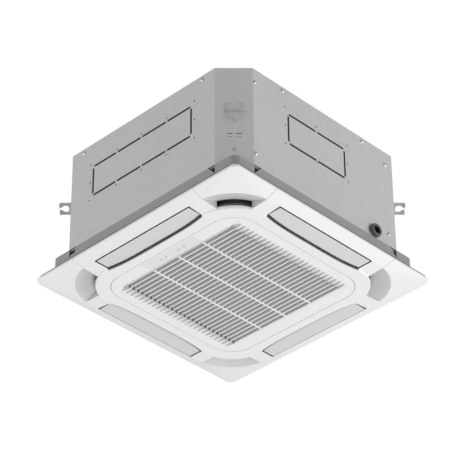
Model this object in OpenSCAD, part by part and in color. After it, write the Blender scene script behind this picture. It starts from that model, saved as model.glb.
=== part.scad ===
// Compact four-way ceiling cassette air conditioner.
// Heights are worked out upwards from the face of the intake grille. The finished unit is then
// lowered, so that its origin lies between the four hanger slots, on the underside of the hangers.
// Side 0 faces -Y and carries the drain socket, side 1 faces +X and carries the pipes,
// side 2 faces +Y and takes the wiring, side 3 faces -X and has the long duct knock-out.
// Corner k lies between side k and side k + 1.

/* [Casing] */
// Width of the casing across its flat sides
body_w = 570; // [566:1:574]
// Height of the casing
body_h = 258; // [254:1:290]
// Length that a cut corner takes from each side
corner_cut = 58; // [52:1:62]
// Thickness of the casing sheet
sheet_t = 1; // [0.8:0.1:1.2]
// Width of a corner plate's flange behind a side plate
flange_w = 29; // [20:1:32]

/* [Knock-outs] */
// Width of the long duct knock-out
long_knock_w = 310; // [240:5:330]
// Width of the short duct knock-out
short_knock_w = 181; // [140:1:200]
// Height of both duct knock-outs
knock_h = 79; // [60:1:90]
// Height of the knock-outs' lower line above the casing's lower edge
knock_rise = 113; // [100:1:125]
// Width of a punched line
knock_line = 4; // [2:0.5:5]
// Length of the sheet left between two punched lines
knock_bridge = 5; // [3:0.5:8]
// Diameter of a pilot hole for a duct flange
pilot_d = 4; // [2:0.5:5]

/* [Hangers] */
// Height of the hangers' underside above the casing's lower edge
hanger_rise = 140; // [120:1:160]
// Width of a hanger
hanger_w = 44; // [40:1:50]
// How far a hanger stands out of the cut corner
hanger_reach = 28; // [26:0.5:34]
// Thickness of the hanger steel
hanger_t = 2.5; // [2:0.1:3]
// Width of the hanger slot, across the corner
slot_w = 27; // [22:1:30]
// Length of the hanger slot, outwards
slot_l = 15; // [13:0.5:16]
// Width of the slot's open mouth
mouth_w = 12.5; // [11:0.5:14]

/* [Panel] */
// Width of the square panel
panel_w = 620; // [616:1:640]
// Height of the panel's upright edge
edge_h = 6; // [5:0.5:8]
// Depth of the grille's face below the panel's edge
face_drop = 14.5; // [13.5:0.5:16]
// Height of the back frame between panel and casing
rim_h = 51; // [48:1:60]
// Width of the panel's sloping margin
margin_w = 29; // [26:1:31]
// Corner radius of the panel's outline
panel_r = 15; // [8:1:25]
// Corner radius of the crease round the outlets
crease_r = 117; // [105:1:125]
// Width of the outlet band between crease and inner ring
band_w = 38; // [36:0.5:40]
// Corner radius of the inner ring
ring_r = 96; // [90:1:102]
// Thickness of a moulded wall
wall_t = 2.5; // [2:0.1:3]
// Gap at a visible seam of the panel
seam = 0.6; // [0.4:0.1:1]
// Thickness of the foam gasket behind the panel's edge
gasket_t = 3; // [2:0.5:5]

/* [Vanes] */
// Length of an air vane
vane_l = 284; // [270:1:288]
// Gap round a vane
vane_gap = 2.5; // [2:0.1:3.5]
// Thickness of a vane's blade
vane_t = 2.5; // [2:0.1:3]
// Diameter of a vane's pivot pins
vane_pin_d = 5; // [4:0.5:6]

/* [Grille] */
// Width of the intake grille
grille_w = 415; // [411:1:418]
// Corner radius of the intake grille
grille_r = 59; // [52:1:64]
// Thickness of the grille's skin
grille_t = 2.2; // [2:0.1:2.4]
// Gap round the grille
grille_gap = 1.2; // [1:0.1:2]
// Number of slots in the grille
slot_count = 26; // [20:1:27]
// Length of the slotted field
field_l = 318; // [290:2:330]
// Depth of the grille's slats
slat_d = 8; // [6:0.5:8.5]

/* [Coil and fan] */
// Width of the square coil
coil_w = 452; // [448:1:454]
// Thickness of the coil
coil_t = 36; // [30:1:38]
// Corner radius outside the coil
coil_r = 46; // [42:1:60]
// Diameter of the fan
fan_d = 320; // [300:2:330]
// Number of fan blades
blade_count = 7; // [5:1:9]
// Diameter of the motor shaft
shaft_d = 8; // [6:0.5:10]
// Diameter of the bell mouth's throat
throat_d = 224; // [210:2:230]
// Thickness of the insulating liner
liner_t = 12; // [8:1:13]
// Height of the drain pan
pan_h = 39; // [36:1:44]

/* [Pipes] */
// Diameter of the gas pipe
gas_d = 12.7; // [9.5:0.1:13]
// Diameter of the liquid pipe
liquid_d = 6.4; // [6:0.1:7]
// Diameter of the drain socket
drain_d = 32; // [28:1:34]
// Bore of the drain socket
drain_bore = 20; // [16:1:21]
// How far the drain socket stands out
drain_reach = 13.5; // [10:0.5:20]

/* [Hidden] */
$fn = 64;
hull_fn = 32;
steel = [0.68, 0.68, 0.66];
steel_light = [0.75, 0.75, 0.74];
steel_dark = [0.6, 0.6, 0.59];
white_plastic = [0.93, 0.93, 0.93];
vane_grey = [0.85, 0.86, 0.86];
frame_grey = [0.56, 0.55, 0.54];
foam_grey = [0.45, 0.45, 0.45];
foam_white = [0.9, 0.9, 0.87];
near_black = [0.15, 0.15, 0.15];
copper = [0.8, 0.47, 0.32];
brass = [0.78, 0.64, 0.34];
board_green = [0.1, 0.38, 0.24];

// How far a cut runs past the face that it opens
overrun = 1;
// Gap between two pieces that lie beside each other and don't move
fit_gap = 0.2;
// Gap between two pieces that move past each other
move_gap = 0.3;
// Radial clearance of a shaft in its bore
run_gap = 0.05;
// Height of the lowest point, the face of the grille
face_z = 0;

// Heights above the grille's face
edge_z = face_z + face_drop;
back_z = edge_z + edge_h;
gasket_z = back_z + gasket_t;
body_z = back_z + rim_h;
top_z = body_z + body_h;
hang_z = body_z + hanger_rise;

// Plan sizes of the casing
body_half = body_w / 2;
side_half = body_half - corner_cut;
corner_d = (body_w - corner_cut) / sqrt(2);
// Where the inner faces of two plates meet at a fold
fold_in = (2 - sqrt(2)) * sheet_t;
// How far the sheet of a cut corner runs back from its fold, inside a flat side's plane
fold_run = sqrt(2) * sheet_t;
// Width of the fold's rounded edge, kept free beside a side plate
fold_gap = 1.5 * sheet_t;
// Height of the top plate's flange, and of the side plates' lower lips
top_flange_h = 20;
lip_w = 10;
// Seam of the corner plate that overlaps the drain side
seam_u = side_half - flange_w;
tongue_w = 12;
inner_half = body_half - 2 * sheet_t - fit_gap;
inner_corner_d = corner_d - sheet_t - hanger_t - fit_gap;
inner_cut = 2 * inner_half - inner_corner_d * sqrt(2);

// Plan sizes and heights of the panel
panel_half = panel_w / 2;
crease_half = panel_half - margin_w;
ring_half = crease_half - band_w;
open_half = grille_w / 2 + grille_gap;
open_r = grille_r + grille_gap;
margin_fall = 8.5;
crease_z = edge_z - margin_fall;
ring_step = 3.5;
ring_z = face_z + ring_step;
ring_bevel = 1.2;
skin_t = 3;
// Height at which the outlet band is hollow behind its skin
band_skin = 1.6;
band_wall = 2;
band_back_z = crease_z + band_skin;
// Where the corner covers' seams start on the crease, and how far they spread to the edge
cover_start = 183;
cover_spread = 3;
cover_rim_w = 6;
seat_rise = 1.8;
seat_z = edge_z + seat_rise;
// Height where a corner recess would meet the ring's outline, and of the ring's lip below it
recess_z = 23;
ring_lip_z = 7.2;
// Half width of the slot between that lip and the recess
ring_mid = ring_half - ring_r;
ring_at_cover = ring_mid + sqrt(ring_r * ring_r - (cover_start - ring_mid) * (cover_start - ring_mid));
slot_half = (ring_at_cover - cover_start) / sqrt(2) - wall_t / 2;

// Outlets and vanes
outlet_out = crease_half;
outlet_inset = 11.5;
outlet_in = ring_half - outlet_inset;
vane_side_gap = 3;
outlet_end = vane_l / 2 + vane_side_gap;
outlet_curl = 8;
vane_out = outlet_out - vane_gap;
vane_heel_gap = 3;
vane_in = outlet_in + vane_heel_gap;
vane_z = 5;
pivot_in = 13.5;
pivot_r = vane_in + pivot_in;
pivot_z = 12;
ear_r = 5;
ear_t = 3;
vane_rib_t = 2;
vane_rib_off = 8;
vane_rib_drop = 1;
vane_rib_r = pivot_r + vane_rib_off;
vane_rib_z = pivot_z - vane_rib_drop;
vane_end = vane_l / 2;
curl_steps = 12;
curl_power = 4;
motor_pin_l = 6;
vane_motor_d = 24;
vane_motor_l = 18;
vane_motor_lift = 8;
vane_motor_ear = 5;
vane_motor_ear_h = 6;
vane_motor_ear_t = 1.5;

// Panel bolts
bolt_d = 6;
bolt_r = 340;
bolt_head_d = 10;
bolt_head_h = 4;
bolt_bite = 18;
bolt_room = 2;
boss_wall = 6;

// Back frame
rim_r = 20;
deck_t = 3;
base_step = 1.4;
base_in = open_half + base_step;
base_in_r = open_r + base_step;
base_out_wall = 2.5;
notch_in = 205;
notch_out = 226;
notch_depth = 22;
block_from = 152;
block_to = 207;
block_t = 1;
block_notch_h = 15;
block_h = 30;

// Grille hinge
hinge_in = 18;
hinge_x = grille_w / 2 - hinge_in;
hinge_z = 5.5;
hinge_y = 106;
hinge_pin_d = 3;
hinge_ear_w = 8;
hinge_ear_r = 3;
arm_t = 5;
arm_gap = 0.5;
arm_wall = 1.2;
arm_depth = 4;
arm_beam_h = 5;
arm_clear = 3.5;
arm_beam_z = hinge_z + hinge_in + arm_clear;
sleeve_l = 14;
sleeve_wall = 1.5;

// Grille field
slot_pitch = 13.1;
slot_open = 7.4;
field_margin = 4.55;
field_half = ((slot_count - 1) * slot_pitch + slot_open) / 2 + field_margin;
slat_lean = 2.6;
bar_w = 4;
bar_off = 76;
groove_l = 25;
groove_d = 1.5;
rib_t = 2.4;
rib_h = 6.8;
rib_span = grille_w / 2 - grille_r;
rib_inset = 2;
display_w = 28;
display_l = 162;
display_t = 0.8;
display_off = 3.5;

// Catches
catch_y = 115;
catch_in = 8;
catch_d = 8;
catch_box_w = 20;
catch_box_d = 14;
catch_box_z0 = 28;
catch_box_h = 22;
catch_travel = 3.5;
catch_head_d = 11;
catch_head_h = 2;
catch_collar_d = 12;
catch_collar_h = 2;
strike_d = 9;
strike_h = 12;

// Filter
filter_rim = 8;
filter_h = 7;
filter_rib = 3;
filter_cells = 6;
mesh_t = 0.6;

// Drain pan
pan_z = body_z + sheet_t;
pan_top = pan_z + pan_h;
pan_floor_t = 5.5;
trough_gap = 6;
pan_open_r = 172;
duct_step = 5.5;
duct_room = 1.8;
duct_in = outlet_in + duct_step;
duct_out = inner_half - liner_t - duct_room;
duct_end = 140;
coil_rise = 10;
coil_rib_w = 6;
coil_rib_u = 90;
coil_foot_z = pan_z + pan_floor_t + coil_rise;
sump_half = 45;
sump_floor_t = 3.5;

// Coil
coil_half = coil_w / 2;
coil_in = coil_half - coil_t;
coil_in_r = coil_r - coil_t;
coil_drop = 11.5;
coil_top = top_z - coil_drop;
coil_end = 125;
end_plate_t = 1.2;
end_plate_over = 4;
tube_d = 7;
row_pitch = 18;
bend_pitch = 21;
bend_count = 5;
bend_rise = 12;
bend_start = coil_foot_z + bend_rise;
header_d = 16;
header_x = 208;
header_y = 150;
header_h = 200;
stub_rise_shares = [0.05, 0.5, 0.95];

// Pipes and their way out
pipe_rise = 78.5;
pipe_z = body_z + pipe_rise;
pipe_reach = 45;
liquid_y = 172;
liquid_start = 200;
liquid_reach = 37;
liquid_wall = 0.8;
gas_wall = 1;
nut_l = 20;
nut_tail = 2;
gas_nut_d = 26;
liquid_nut_d = 17;
cover_w = 62;
cover_h = 42;
cover_t = 1.2;
cover_y = 161;
cover_hole_w = 46;
cover_hole_h = 28;
distributor_d = 18;
distributor_l = 18;
capillary_d = 4;
capillary_pitch = 5;

// Drain parts
drain_u = 154;
drain_rise = 16;
drain_z = body_z + drain_rise;
spigot_d = 24;
hose_d = 16;
hose_bore = 12;
hose_end_d = 26;
hose_bend = 18;
hose_rise = 164.5;
hose_z = body_z + hose_rise;
hose_out_y = 150;
hose_reach = 25;
hose_socket_bore = 20;
hose_socket_l = 20;
pump_suction_d = 16;
pump_suction_bore = 10;
pump_foot_gap = 8;
volute_d = 44;
volute_h = 20;
volute_wall = 3;
pump_motor_d = 52;
pump_room = 20;
pump_r = inner_corner_d - liner_t - pump_motor_d / 2 - pump_room;
sump_reach_in = 38;
sump_reach_out = 30;
sump_in = pump_r - sump_reach_in;
sump_out = pump_r + sump_reach_out;
pump_motor_h = 40;
pump_flange_half = 60;
pump_flange_w = 24;
pump_flange_t = 3;
pump_neck_h = 4;
pump_neck_d = 28;
pump_stub_d = 12;
pump_stub_l = 10;
pump_stub_bore = 8;
impeller_d = 32;
impeller_h = 11;
impeller_hub_d = 10;
impeller_blade_t = 2;
impeller_gap = 1;
rotor_d = 4;
rotor_l = 16;
float_u = 30;
float_in = 24;
float_r = pump_r - float_in;
float_d = 16;
float_h = 12;
float_travel = 10;
stem_d = 5;
stem_foot = 8;
stop_d = 10;
stop_h = 2;
float_arm_w = 10;
float_arm_t = 2;
float_arm_to = 58;

// Fan, motor and bell mouth
fan_r = fan_d / 2;
fan_rise = 38.5;
fan_z = pan_z + fan_rise;
fan_h = 120;
shroud_h = 39;
shell_t = 2.5;
inlet_gap = 3;
dome_r = 78;
dome_foot_r = 24;
dome_h = 66;
blade_in_r = 106;
blade_edge = 2;
blade_t = 3;
blade_sweep = 38;
blade_steps = 8;
hub_r = 14;
hub_h = 27;
nut_h = 6.2;
fan_nut_d = 15;
washer_d = 20;
washer_t = 0.3;
shaft_tail = 9;
motor_r = 55;
motor_h = 78;
motor_round = 8;
motor_neck_r = 16;
motor_neck_h = 6;
mount_d = 18;
mount_r = 74;
ear_plate_t = 3;
mount_bolt_d = 6;
mount_nut_d = 10;
mount_nut_h = 5;
mount_room = 0.2;
mount_h = 33.5;
mouth_r = 150;
mouth_flange_t = 3;
mouth_flange_w = 34;
mouth_steps = 8;
mouth_collar = 5;

// Control box
box_x0 = 130;
box_y0 = 152;
box_y1 = 206;
box_h = 34.5;
box_t = 1.2;
board_x0 = 120;
board_x1 = 60;
board_in = 5;
board_t = 1.6;
post_h = 8;
post_d = 6;
part_d = 14;
part_h = 16;
part_count = 5;
terminal_l = 44;
terminal_w = 28;
terminal_h = 18;
terminal_gap = 8;

// Cable gland
gland_u = 150;
gland_rise = 110;
gland_z = body_z + gland_rise;
gland_d = 22;
gland_bore = 14;
gland_rim = 3;
gland_t = 2;

// Casing screws
screw_d = 4;
screw_head_d = 9;
screw_head_h = 2.8;
screw_share = 0.55;
screw_drop = 11;
side_screw_low = 31;
side_screw_high = 222;
corner_screw_low = 41;
fold_screw = 6;
seam_screw = 5;
top_screw_u = 189;
drain_screw_l = 134;
drain_screw_r = 126;
leg_drop = 38;
leg_screw_drop = 24;

// Small slits and holes in a corner plate
slit_w = 12;
slit_h = 2;
slit_off = 10;
slit_drop = 59;
dot_d = 2.5;
dot_drop = 67.5;
dot_offs = [-13, -6.5, 6.5, 13];

module placed() { translate([0, 0, -hang_z]) children(); }
module on_side(k) { rotate([0, 0, 90 * k]) children(); }
module on_corner(k) { rotate([0, 0, 90 * k + 45]) children(); }
module slab(z0, z1) { translate([0, 0, z0]) linear_extrude(z1 - z0) children(); }

// Box on a side: u along the side, r outwards from the unit's middle
module side_block(u0, u1, r0, r1, z0, z1) {
    translate([u0, -r1, z0]) cube([u1 - u0, r1 - r0, z1 - z0]);
}

// Rod through a side or corner, pointing outwards
module side_rod(u, z, r0, r1, d) {
    translate([u, -r0, z]) rotate([90, 0, 0]) cylinder(d = d, h = r1 - r0);
}

// Rod along a side
module along_rod(u0, u1, r, z, d) {
    translate([u0, -r, z]) rotate([0, 90, 0]) cylinder(d = d, h = u1 - u0);
}

module octagon(half, cut) {
    polygon([[cut - half, -half], [half - cut, -half], [half, cut - half], [half, half - cut],
        [half - cut, half], [cut - half, half], [-half, half - cut], [-half, cut - half]]);
}

module rounded_square(half, r) {
    square([2 * half, 2 * (half - r)], center = true);
    square([2 * (half - r), 2 * half], center = true);
    for (a = [-1, 1], b = [-1, 1]) translate([a * (half - r), b * (half - r)]) circle(r);
}

// Casing sheet metal

function drain_side(k) = k == 0;

module punched_line(u0, u1, z, along_u) {
    if (along_u) side_block(u0, u1, body_half - 2 * sheet_t, body_half + overrun,
        z - knock_line / 2, z + knock_line / 2);
    else side_block(z - knock_line / 2, z + knock_line / 2, body_half - 2 * sheet_t,
        body_half + overrun, u0, u1);
}

// Knock-out between u0 and u1 with sheet bridges at the shares given
module knockout(u0, u1, bridge_shares, lift) {
    z0 = body_z + knock_rise;
    z1 = z0 + knock_h;
    half_bridge = knock_bridge / 2;
    stops = concat([0], bridge_shares, [1]);
    for (i = [0 : len(stops) - 2], z = [z0, z1])
        punched_line(u0 + (u1 - u0) * stops[i] + half_bridge,
            u0 + (u1 - u0) * stops[i + 1] - half_bridge, z, true);
    for (u = [u0, u1]) punched_line(z0 + knock_bridge, z1 - knock_bridge, u, false);
    pilot_gap = knock_line + pilot_d + overrun + overrun;
    for (u = [u0 - pilot_gap, u1 + pilot_gap], z = [z0 - pilot_gap, (z0 + z1) / 2, z1 + pilot_gap])
        side_rod(u, z + lift, body_half - 2 * sheet_t, body_half + overrun, pilot_d);
    for (share = bridge_shares, z = [z0 - pilot_gap, z1 + pilot_gap])
        side_rod(u0 + (u1 - u0) * share, z + lift, body_half - 2 * sheet_t,
            body_half + overrun, pilot_d);
}

// Places of the screws on side k: u and height
function side_screws(k) =
    k == 0 ? [[-drain_screw_l, top_z - screw_drop], [drain_screw_r, top_z - screw_drop],
        [fold_screw - side_half, body_z + side_screw_low],
        [fold_screw - side_half, body_z + side_screw_high],
        [seam_screw + seam_u, body_z + side_screw_low],
        [seam_screw + seam_u, body_z + side_screw_high]]
    : [[-top_screw_u, top_z - screw_drop], [top_screw_u, top_z - screw_drop]];

module side_plate(k) {
    u_end = side_half - fold_gap;
    u_last = drain_side(k) ? seam_u - fit_gap : u_end;
    difference() {
        union() {
            side_block(-u_end, u_last, body_half - sheet_t, body_half, body_z, top_z - sheet_t);
            side_block(tongue_w - seam_u + fit_gap, seam_u - tongue_w - fit_gap, body_half - lip_w,
                body_half, body_z, body_z + sheet_t);
        }
        for (s = side_screws(k)) side_rod(s[0], s[1], body_half - 2 * sheet_t,
            body_half + overrun, screw_d + fit_gap);
        children();
    }
}

// The duct knock-out of the drain side lies left of the middle
short_mid = -26.5;

module side_plate_drain() {
    color(steel_light) placed() side_plate(0) {
        knockout(short_mid - short_knock_w / 2, short_mid + short_knock_w / 2, [0.5], knock_bridge);
        side_rod(drain_u, drain_z, body_half - 2 * sheet_t, body_half + overrun, spigot_d + fit_gap);
    }
}

module side_plate_pipe() {
    color(steel) placed() on_side(1) side_plate(1) {
        side_block(-cover_y - cover_hole_w / 2, -cover_y + cover_hole_w / 2,
            body_half - 2 * sheet_t, body_half + overrun,
            pipe_z - cover_hole_h / 2, pipe_z + cover_hole_h / 2);
        side_rod(-hose_out_y, hose_z, body_half - 2 * sheet_t, body_half + overrun,
            hose_d + fit_gap);
        for (u = [-1, 1]) side_rod(u * (cover_w - screw_head_d) / 2 - cover_y, pipe_z,
            body_half - 2 * sheet_t, body_half + overrun, screw_d + fit_gap);
    }
}

module side_plate_wiring() {
    color(steel) placed() on_side(2) side_plate(2) {
        side_rod(-gland_u, gland_z, body_half - 2 * sheet_t, body_half + overrun,
            gland_d + fit_gap);
    }
}

module side_plate_duct() {
    color(steel) placed() on_side(3) side_plate(3)
        knockout(-long_knock_w / 2, long_knock_w / 2, [0.245, 0.5, 0.755], 0);
}

// Plan of a corner plate's outer strip, with a flush flange on the drain side
module corner_strip_2d(flush) {
    polygon(concat([[side_half, -body_half], [body_half, -side_half],
        [body_half, fold_run - side_half]], flush ?
            [[side_half + sheet_t - fold_run, sheet_t - body_half],
                [seam_u, sheet_t - body_half], [seam_u, -body_half]]
            : [[side_half - fold_run, -body_half]]));
}

module corner_plate(k) {
    z_hi = top_z - top_flange_h - fit_gap;
    z_lo = body_z + sheet_t + fit_gap;
    difference() {
        union() {
            on_side(k) slab(body_z, top_z - sheet_t) corner_strip_2d(drain_side(k));
            if (drain_side(k)) {
                on_side(k) side_block(seam_u - tongue_w, seam_u + tongue_w,
                    body_half - 2 * sheet_t, body_half - sheet_t, z_lo, z_hi);
            } else {
                on_side(k) side_block(seam_u, side_half + fold_in, body_half - 2 * sheet_t,
                    body_half - sheet_t, z_lo, z_hi);
            }
            on_side(k + 1) side_block(-side_half - fold_in, -seam_u, body_half - 2 * sheet_t,
                body_half - sheet_t, z_lo, z_hi);
        }
        on_corner(k) {
            side_block(-hanger_w / 2 - fit_gap, hanger_w / 2 + fit_gap, corner_d - 2 * sheet_t,
                corner_d + overrun, hang_z - fit_gap, hang_z + hanger_t + fit_gap);
            for (s = [-1, 1]) side_block(s * slit_off - slit_w / 2, s * slit_off + slit_w / 2,
                corner_d - 2 * sheet_t, corner_d + overrun,
                hang_z - slit_drop - slit_h / 2, hang_z - slit_drop + slit_h / 2);
            for (u = dot_offs) side_rod(u, hang_z - dot_drop, corner_d - 2 * sheet_t,
                corner_d + overrun, dot_d);
            for (z = [hang_z - leg_screw_drop, body_z + corner_screw_low])
                side_rod(0, z, corner_d - 2 * sheet_t, corner_d + overrun, screw_d + fit_gap);
        }
        for (j = [k, k + 1]) on_side(j) for (s = side_screws(j % 4))
            side_rod(s[0], s[1], body_half - 3 * sheet_t, body_half + overrun, screw_d + fit_gap);
    }
}

module corner_plate_1() { color(steel_dark) placed() corner_plate(0); }
module corner_plate_2() { color(steel_dark) placed() corner_plate(1); }
module corner_plate_3() { color(steel_dark) placed() corner_plate(2); }
module corner_plate_4() { color(steel_dark) placed() corner_plate(3); }

// Pressed beads of the top plate
bead_w = 12;
bead_h = 1.5;
bead_ring_r = 110;
bead_reach = 235;

module top_plate() {
    flange_cut = corner_cut - fold_in;
    color(steel) placed() difference() {
        union() {
            slab(top_z - sheet_t, top_z) octagon(body_half, corner_cut);
            slab(top_z - top_flange_h, top_z) difference() {
                octagon(body_half - sheet_t, flange_cut);
                octagon(body_half - 2 * sheet_t, flange_cut - fold_in);
            }
            slab(top_z - sheet_t, top_z + bead_h) difference() {
                circle(bead_ring_r);
                circle(bead_ring_r - bead_w);
            }
            for (k = [0 : 3]) on_corner(k) side_block(-bead_w / 2, bead_w / 2,
                bead_ring_r - bead_w / 2, bead_reach, top_z - sheet_t, top_z + bead_h);
        }
        for (k = [0 : 3]) on_side(k) for (s = side_screws(k))
            side_rod(s[0], s[1], body_half - 3 * sheet_t, body_half + overrun, screw_d + fit_gap);
        for (k = [0 : 3]) on_corner(k) translate([0, -mount_r, top_z - 2 * sheet_t])
            cylinder(d = mount_bolt_d, h = 3 * sheet_t);
    }
}

module hanger_slot_2d() {
    r = slot_l / 2;
    mid = corner_d + hanger_reach - (hanger_reach - slot_l) / 2 - r;
    translate([0, -mid]) {
        square([slot_w - slot_l, slot_l], center = true);
        for (s = [-1, 1]) translate([s * (slot_w - slot_l) / 2, 0]) circle(r);
    }
    translate([-mouth_w / 2, -corner_d - hanger_reach - overrun])
        square([mouth_w, hanger_reach / 2]);
}

module hanger_bracket(k) {
    tip = corner_d + hanger_reach;
    root = corner_d - sheet_t - hanger_t;
    lip_h = 4.5;
    round_r = 3;
    color(steel) placed() on_corner(k) difference() {
        union() {
            slab(hang_z, hang_z + hanger_t) {
                translate([-hanger_w / 2, round_r - tip]) square([hanger_w, tip - round_r - root]);
                translate([round_r - hanger_w / 2, -tip]) square([hanger_w - 2 * round_r, tip - root]);
                for (s = [-1, 1]) translate([s * (hanger_w / 2 - round_r), round_r - tip])
                    circle(round_r);
            }
            side_block(-hanger_w / 2, hanger_w / 2, root, corner_d - sheet_t, hang_z - leg_drop,
                hang_z + hanger_t);
            for (s = [-1, 1]) side_block(min(s * mouth_w / 2, s * (hanger_w / 2 - round_r)),
                max(s * mouth_w / 2, s * (hanger_w / 2 - round_r)), tip - hanger_t / 2, tip,
                hang_z - lip_h, hang_z + hanger_t);
        }
        slab(hang_z - lip_h - overrun, hang_z + hanger_t + overrun) hanger_slot_2d();
        side_rod(0, hang_z - leg_screw_drop, root - overrun, corner_d, screw_d + fit_gap);
    }
}

module hanger_bracket_1() { hanger_bracket(0); }
module hanger_bracket_2() { hanger_bracket(1); }
module hanger_bracket_3() { hanger_bracket(2); }
module hanger_bracket_4() { hanger_bracket(3); }

module screw(u, z, r) {
    translate([u, -r, z]) rotate([90, 0, 0]) {
        cylinder(d = screw_head_d, h = screw_head_h * screw_share);
        translate([0, 0, screw_head_h * screw_share]) cylinder(d1 = screw_head_d,
            d2 = screw_head_d * screw_share, h = screw_head_h * (1 - screw_share));
    }
    side_rod(u, z, r - 2 * sheet_t, r, screw_d);
}

module casing_screws() {
    color(steel_light) placed() {
        for (k = [0 : 3]) on_side(k) for (s = side_screws(k)) screw(s[0], s[1], body_half);
        for (k = [0 : 3], z = [hang_z - leg_screw_drop, body_z + corner_screw_low])
            on_corner(k) screw(0, z, corner_d);
        for (u = [-1, 1]) on_side(1)
            screw(u * (cover_w - screw_head_d) / 2 - cover_y, pipe_z, body_half + cover_t);
    }
}

module cable_gland() {
    color(near_black) placed() on_side(2) difference() {
        union() {
            side_rod(-gland_u, gland_z, inner_half - liner_t, body_half, gland_d);
            side_rod(-gland_u, gland_z, body_half, body_half + gland_t, gland_d + 2 * gland_rim);
        }
        side_rod(-gland_u, gland_z, inner_half - liner_t - overrun, body_half + gland_t + overrun,
            gland_bore);
    }
}

module casing_liner() {
    inner_room = inner_half - liner_t;
    inner_room_cut = 2 * inner_room - (inner_corner_d - liner_t) * sqrt(2);
    color(foam_grey) placed() difference() {
        slab(pan_top, top_z - top_flange_h) difference() {
            octagon(inner_half, inner_cut);
            octagon(inner_room, inner_room_cut);
        }
        for (k = [0 : 3], s = [-1, 1]) on_side(k) side_block(
            s * (inner_room - inner_room_cut) - fit_gap / 2,
            s * (inner_room - inner_room_cut) + fit_gap / 2, inner_room - overrun,
            inner_half + overrun, pan_top - overrun, top_z);
        on_side(1) side_block(-cover_y - cover_hole_w / 2, -cover_y + cover_hole_w / 2,
            inner_room - overrun, body_half, pipe_z - cover_hole_h / 2, pipe_z + cover_hole_h / 2);
        on_side(1) side_rod(-hose_out_y, hose_z, inner_room - overrun, body_half,
            hose_d + hose_bend);
        on_side(2) side_rod(-gland_u, gland_z, inner_room - overrun, body_half,
            gland_d + fit_gap);
    }
}

// Heat exchanger

// The two rows of tubes, counted in from the coil's outside
function row_r(i) = coil_half - coil_t / 2 + (i - 0.5) * row_pitch;

module coil_fins() {
    color([0.78, 0.8, 0.82]) placed() difference() {
        slab(coil_foot_z, coil_top) difference() {
            rounded_square(coil_half, coil_r);
            rounded_square(coil_in, coil_in_r);
        }
        translate([coil_end, -coil_half - overrun, coil_foot_z - overrun])
            cube([coil_half, coil_half + overrun - coil_end, coil_top - coil_foot_z + 2 * overrun]);
    }
}

module coil_end_plates() {
    reach_in = coil_in - end_plate_over;
    reach_out = coil_half + end_plate_over;
    far = coil_end + end_plate_t;
    partition_d = (far + reach_in) / sqrt(2);
    partition_half = (reach_in - far) / sqrt(2);
    color(steel) placed() {
        side_block(coil_end, far, reach_in, reach_out, coil_foot_z, coil_top);
        on_side(1) side_block(-far, -coil_end, reach_in, reach_out, coil_foot_z, coil_top);
        on_corner(0) side_block(-partition_half, partition_half, partition_d,
            partition_d + end_plate_t, pan_top, coil_top);
    }
}

module return_bend(r, z) {
    translate([coil_end + end_plate_t, -r, z]) rotate([90, 0, 0]) rotate([0, 0, -90])
        rotate_extrude(angle = 180) translate([bend_pitch / 2, 0]) circle(d = tube_d);
}

module coil_bends() {
    for (i = [0, 1], j = [0 : bend_count - 1])
        return_bend(row_r(i), bend_start + bend_pitch / 2 + 2 * j * bend_pitch);
}

module coil_tubes() {
    far = coil_end + end_plate_t;
    color(copper) placed() {
        coil_bends();
        mirror([1, 1, 0]) coil_bends();
        translate([header_x, -header_y, bend_start]) cylinder(d = header_d, h = header_h);
        for (share = stub_rise_shares) translate([header_x, -header_y, bend_start + header_h * share])
            rotate([-90, 0, 0]) cylinder(d = tube_d, h = header_y - far);
        translate([liquid_start - distributor_l, -liquid_y, pipe_z]) rotate([0, 90, 0])
            cylinder(d = distributor_d, h = distributor_l);
        for (i = [-1 : 1])
            translate([liquid_start - distributor_l / 2, -liquid_y, pipe_z + i * capillary_pitch])
                rotate([-90, 0, 0]) cylinder(d = capillary_d, h = liquid_y - far);
    }
}

// Pipe from inside the casing out to its flared end
module stub_pipe(start, y, d, wall, reach) {
    translate([start, -y, pipe_z]) rotate([0, 90, 0]) difference() {
        cylinder(d = d, h = body_half + reach - start);
        translate([0, 0, overrun]) cylinder(d = d - 2 * wall, h = body_half + reach - start);
    }
}

module refrigerant_pipes() {
    color(copper) placed() {
        stub_pipe(liquid_start, liquid_y, liquid_d, liquid_wall, liquid_reach);
        stub_pipe(header_x + header_d / 2, header_y, gas_d, gas_wall, pipe_reach);
    }
}

module flare_nut(d, pipe_d) {
    difference() {
        cylinder(d = d, h = nut_l, $fn = 6);
        translate([0, 0, -overrun]) cylinder(d = pipe_d + fit_gap / 2, h = nut_l + 2 * overrun);
    }
}

module flare_nuts() {
    color(brass) placed() {
        translate([body_half + pipe_reach - nut_l - nut_tail, -header_y, pipe_z])
            rotate([0, 90, 0]) flare_nut(gas_nut_d, gas_d);
        translate([body_half + liquid_reach - nut_l - nut_tail, -liquid_y, pipe_z])
            rotate([0, 90, 0]) flare_nut(liquid_nut_d, liquid_d);
    }
}

module pipe_cover() {
    color(steel_dark) placed() on_side(1) difference() {
        side_block(-cover_y - cover_w / 2, -cover_y + cover_w / 2, body_half, body_half + cover_t,
            pipe_z - cover_h / 2, pipe_z + cover_h / 2);
        side_rod(-header_y, pipe_z, body_half - overrun, body_half + cover_t + overrun,
            gas_d + fit_gap);
        side_rod(-liquid_y, pipe_z, body_half - overrun, body_half + cover_t + overrun,
            liquid_d + fit_gap);
        for (u = [-1, 1]) side_rod(u * (cover_w - screw_head_d) / 2 - cover_y, pipe_z,
            body_half - overrun, body_half + cover_t + overrun, screw_d + fit_gap);
    }
}

// Drain

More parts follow.
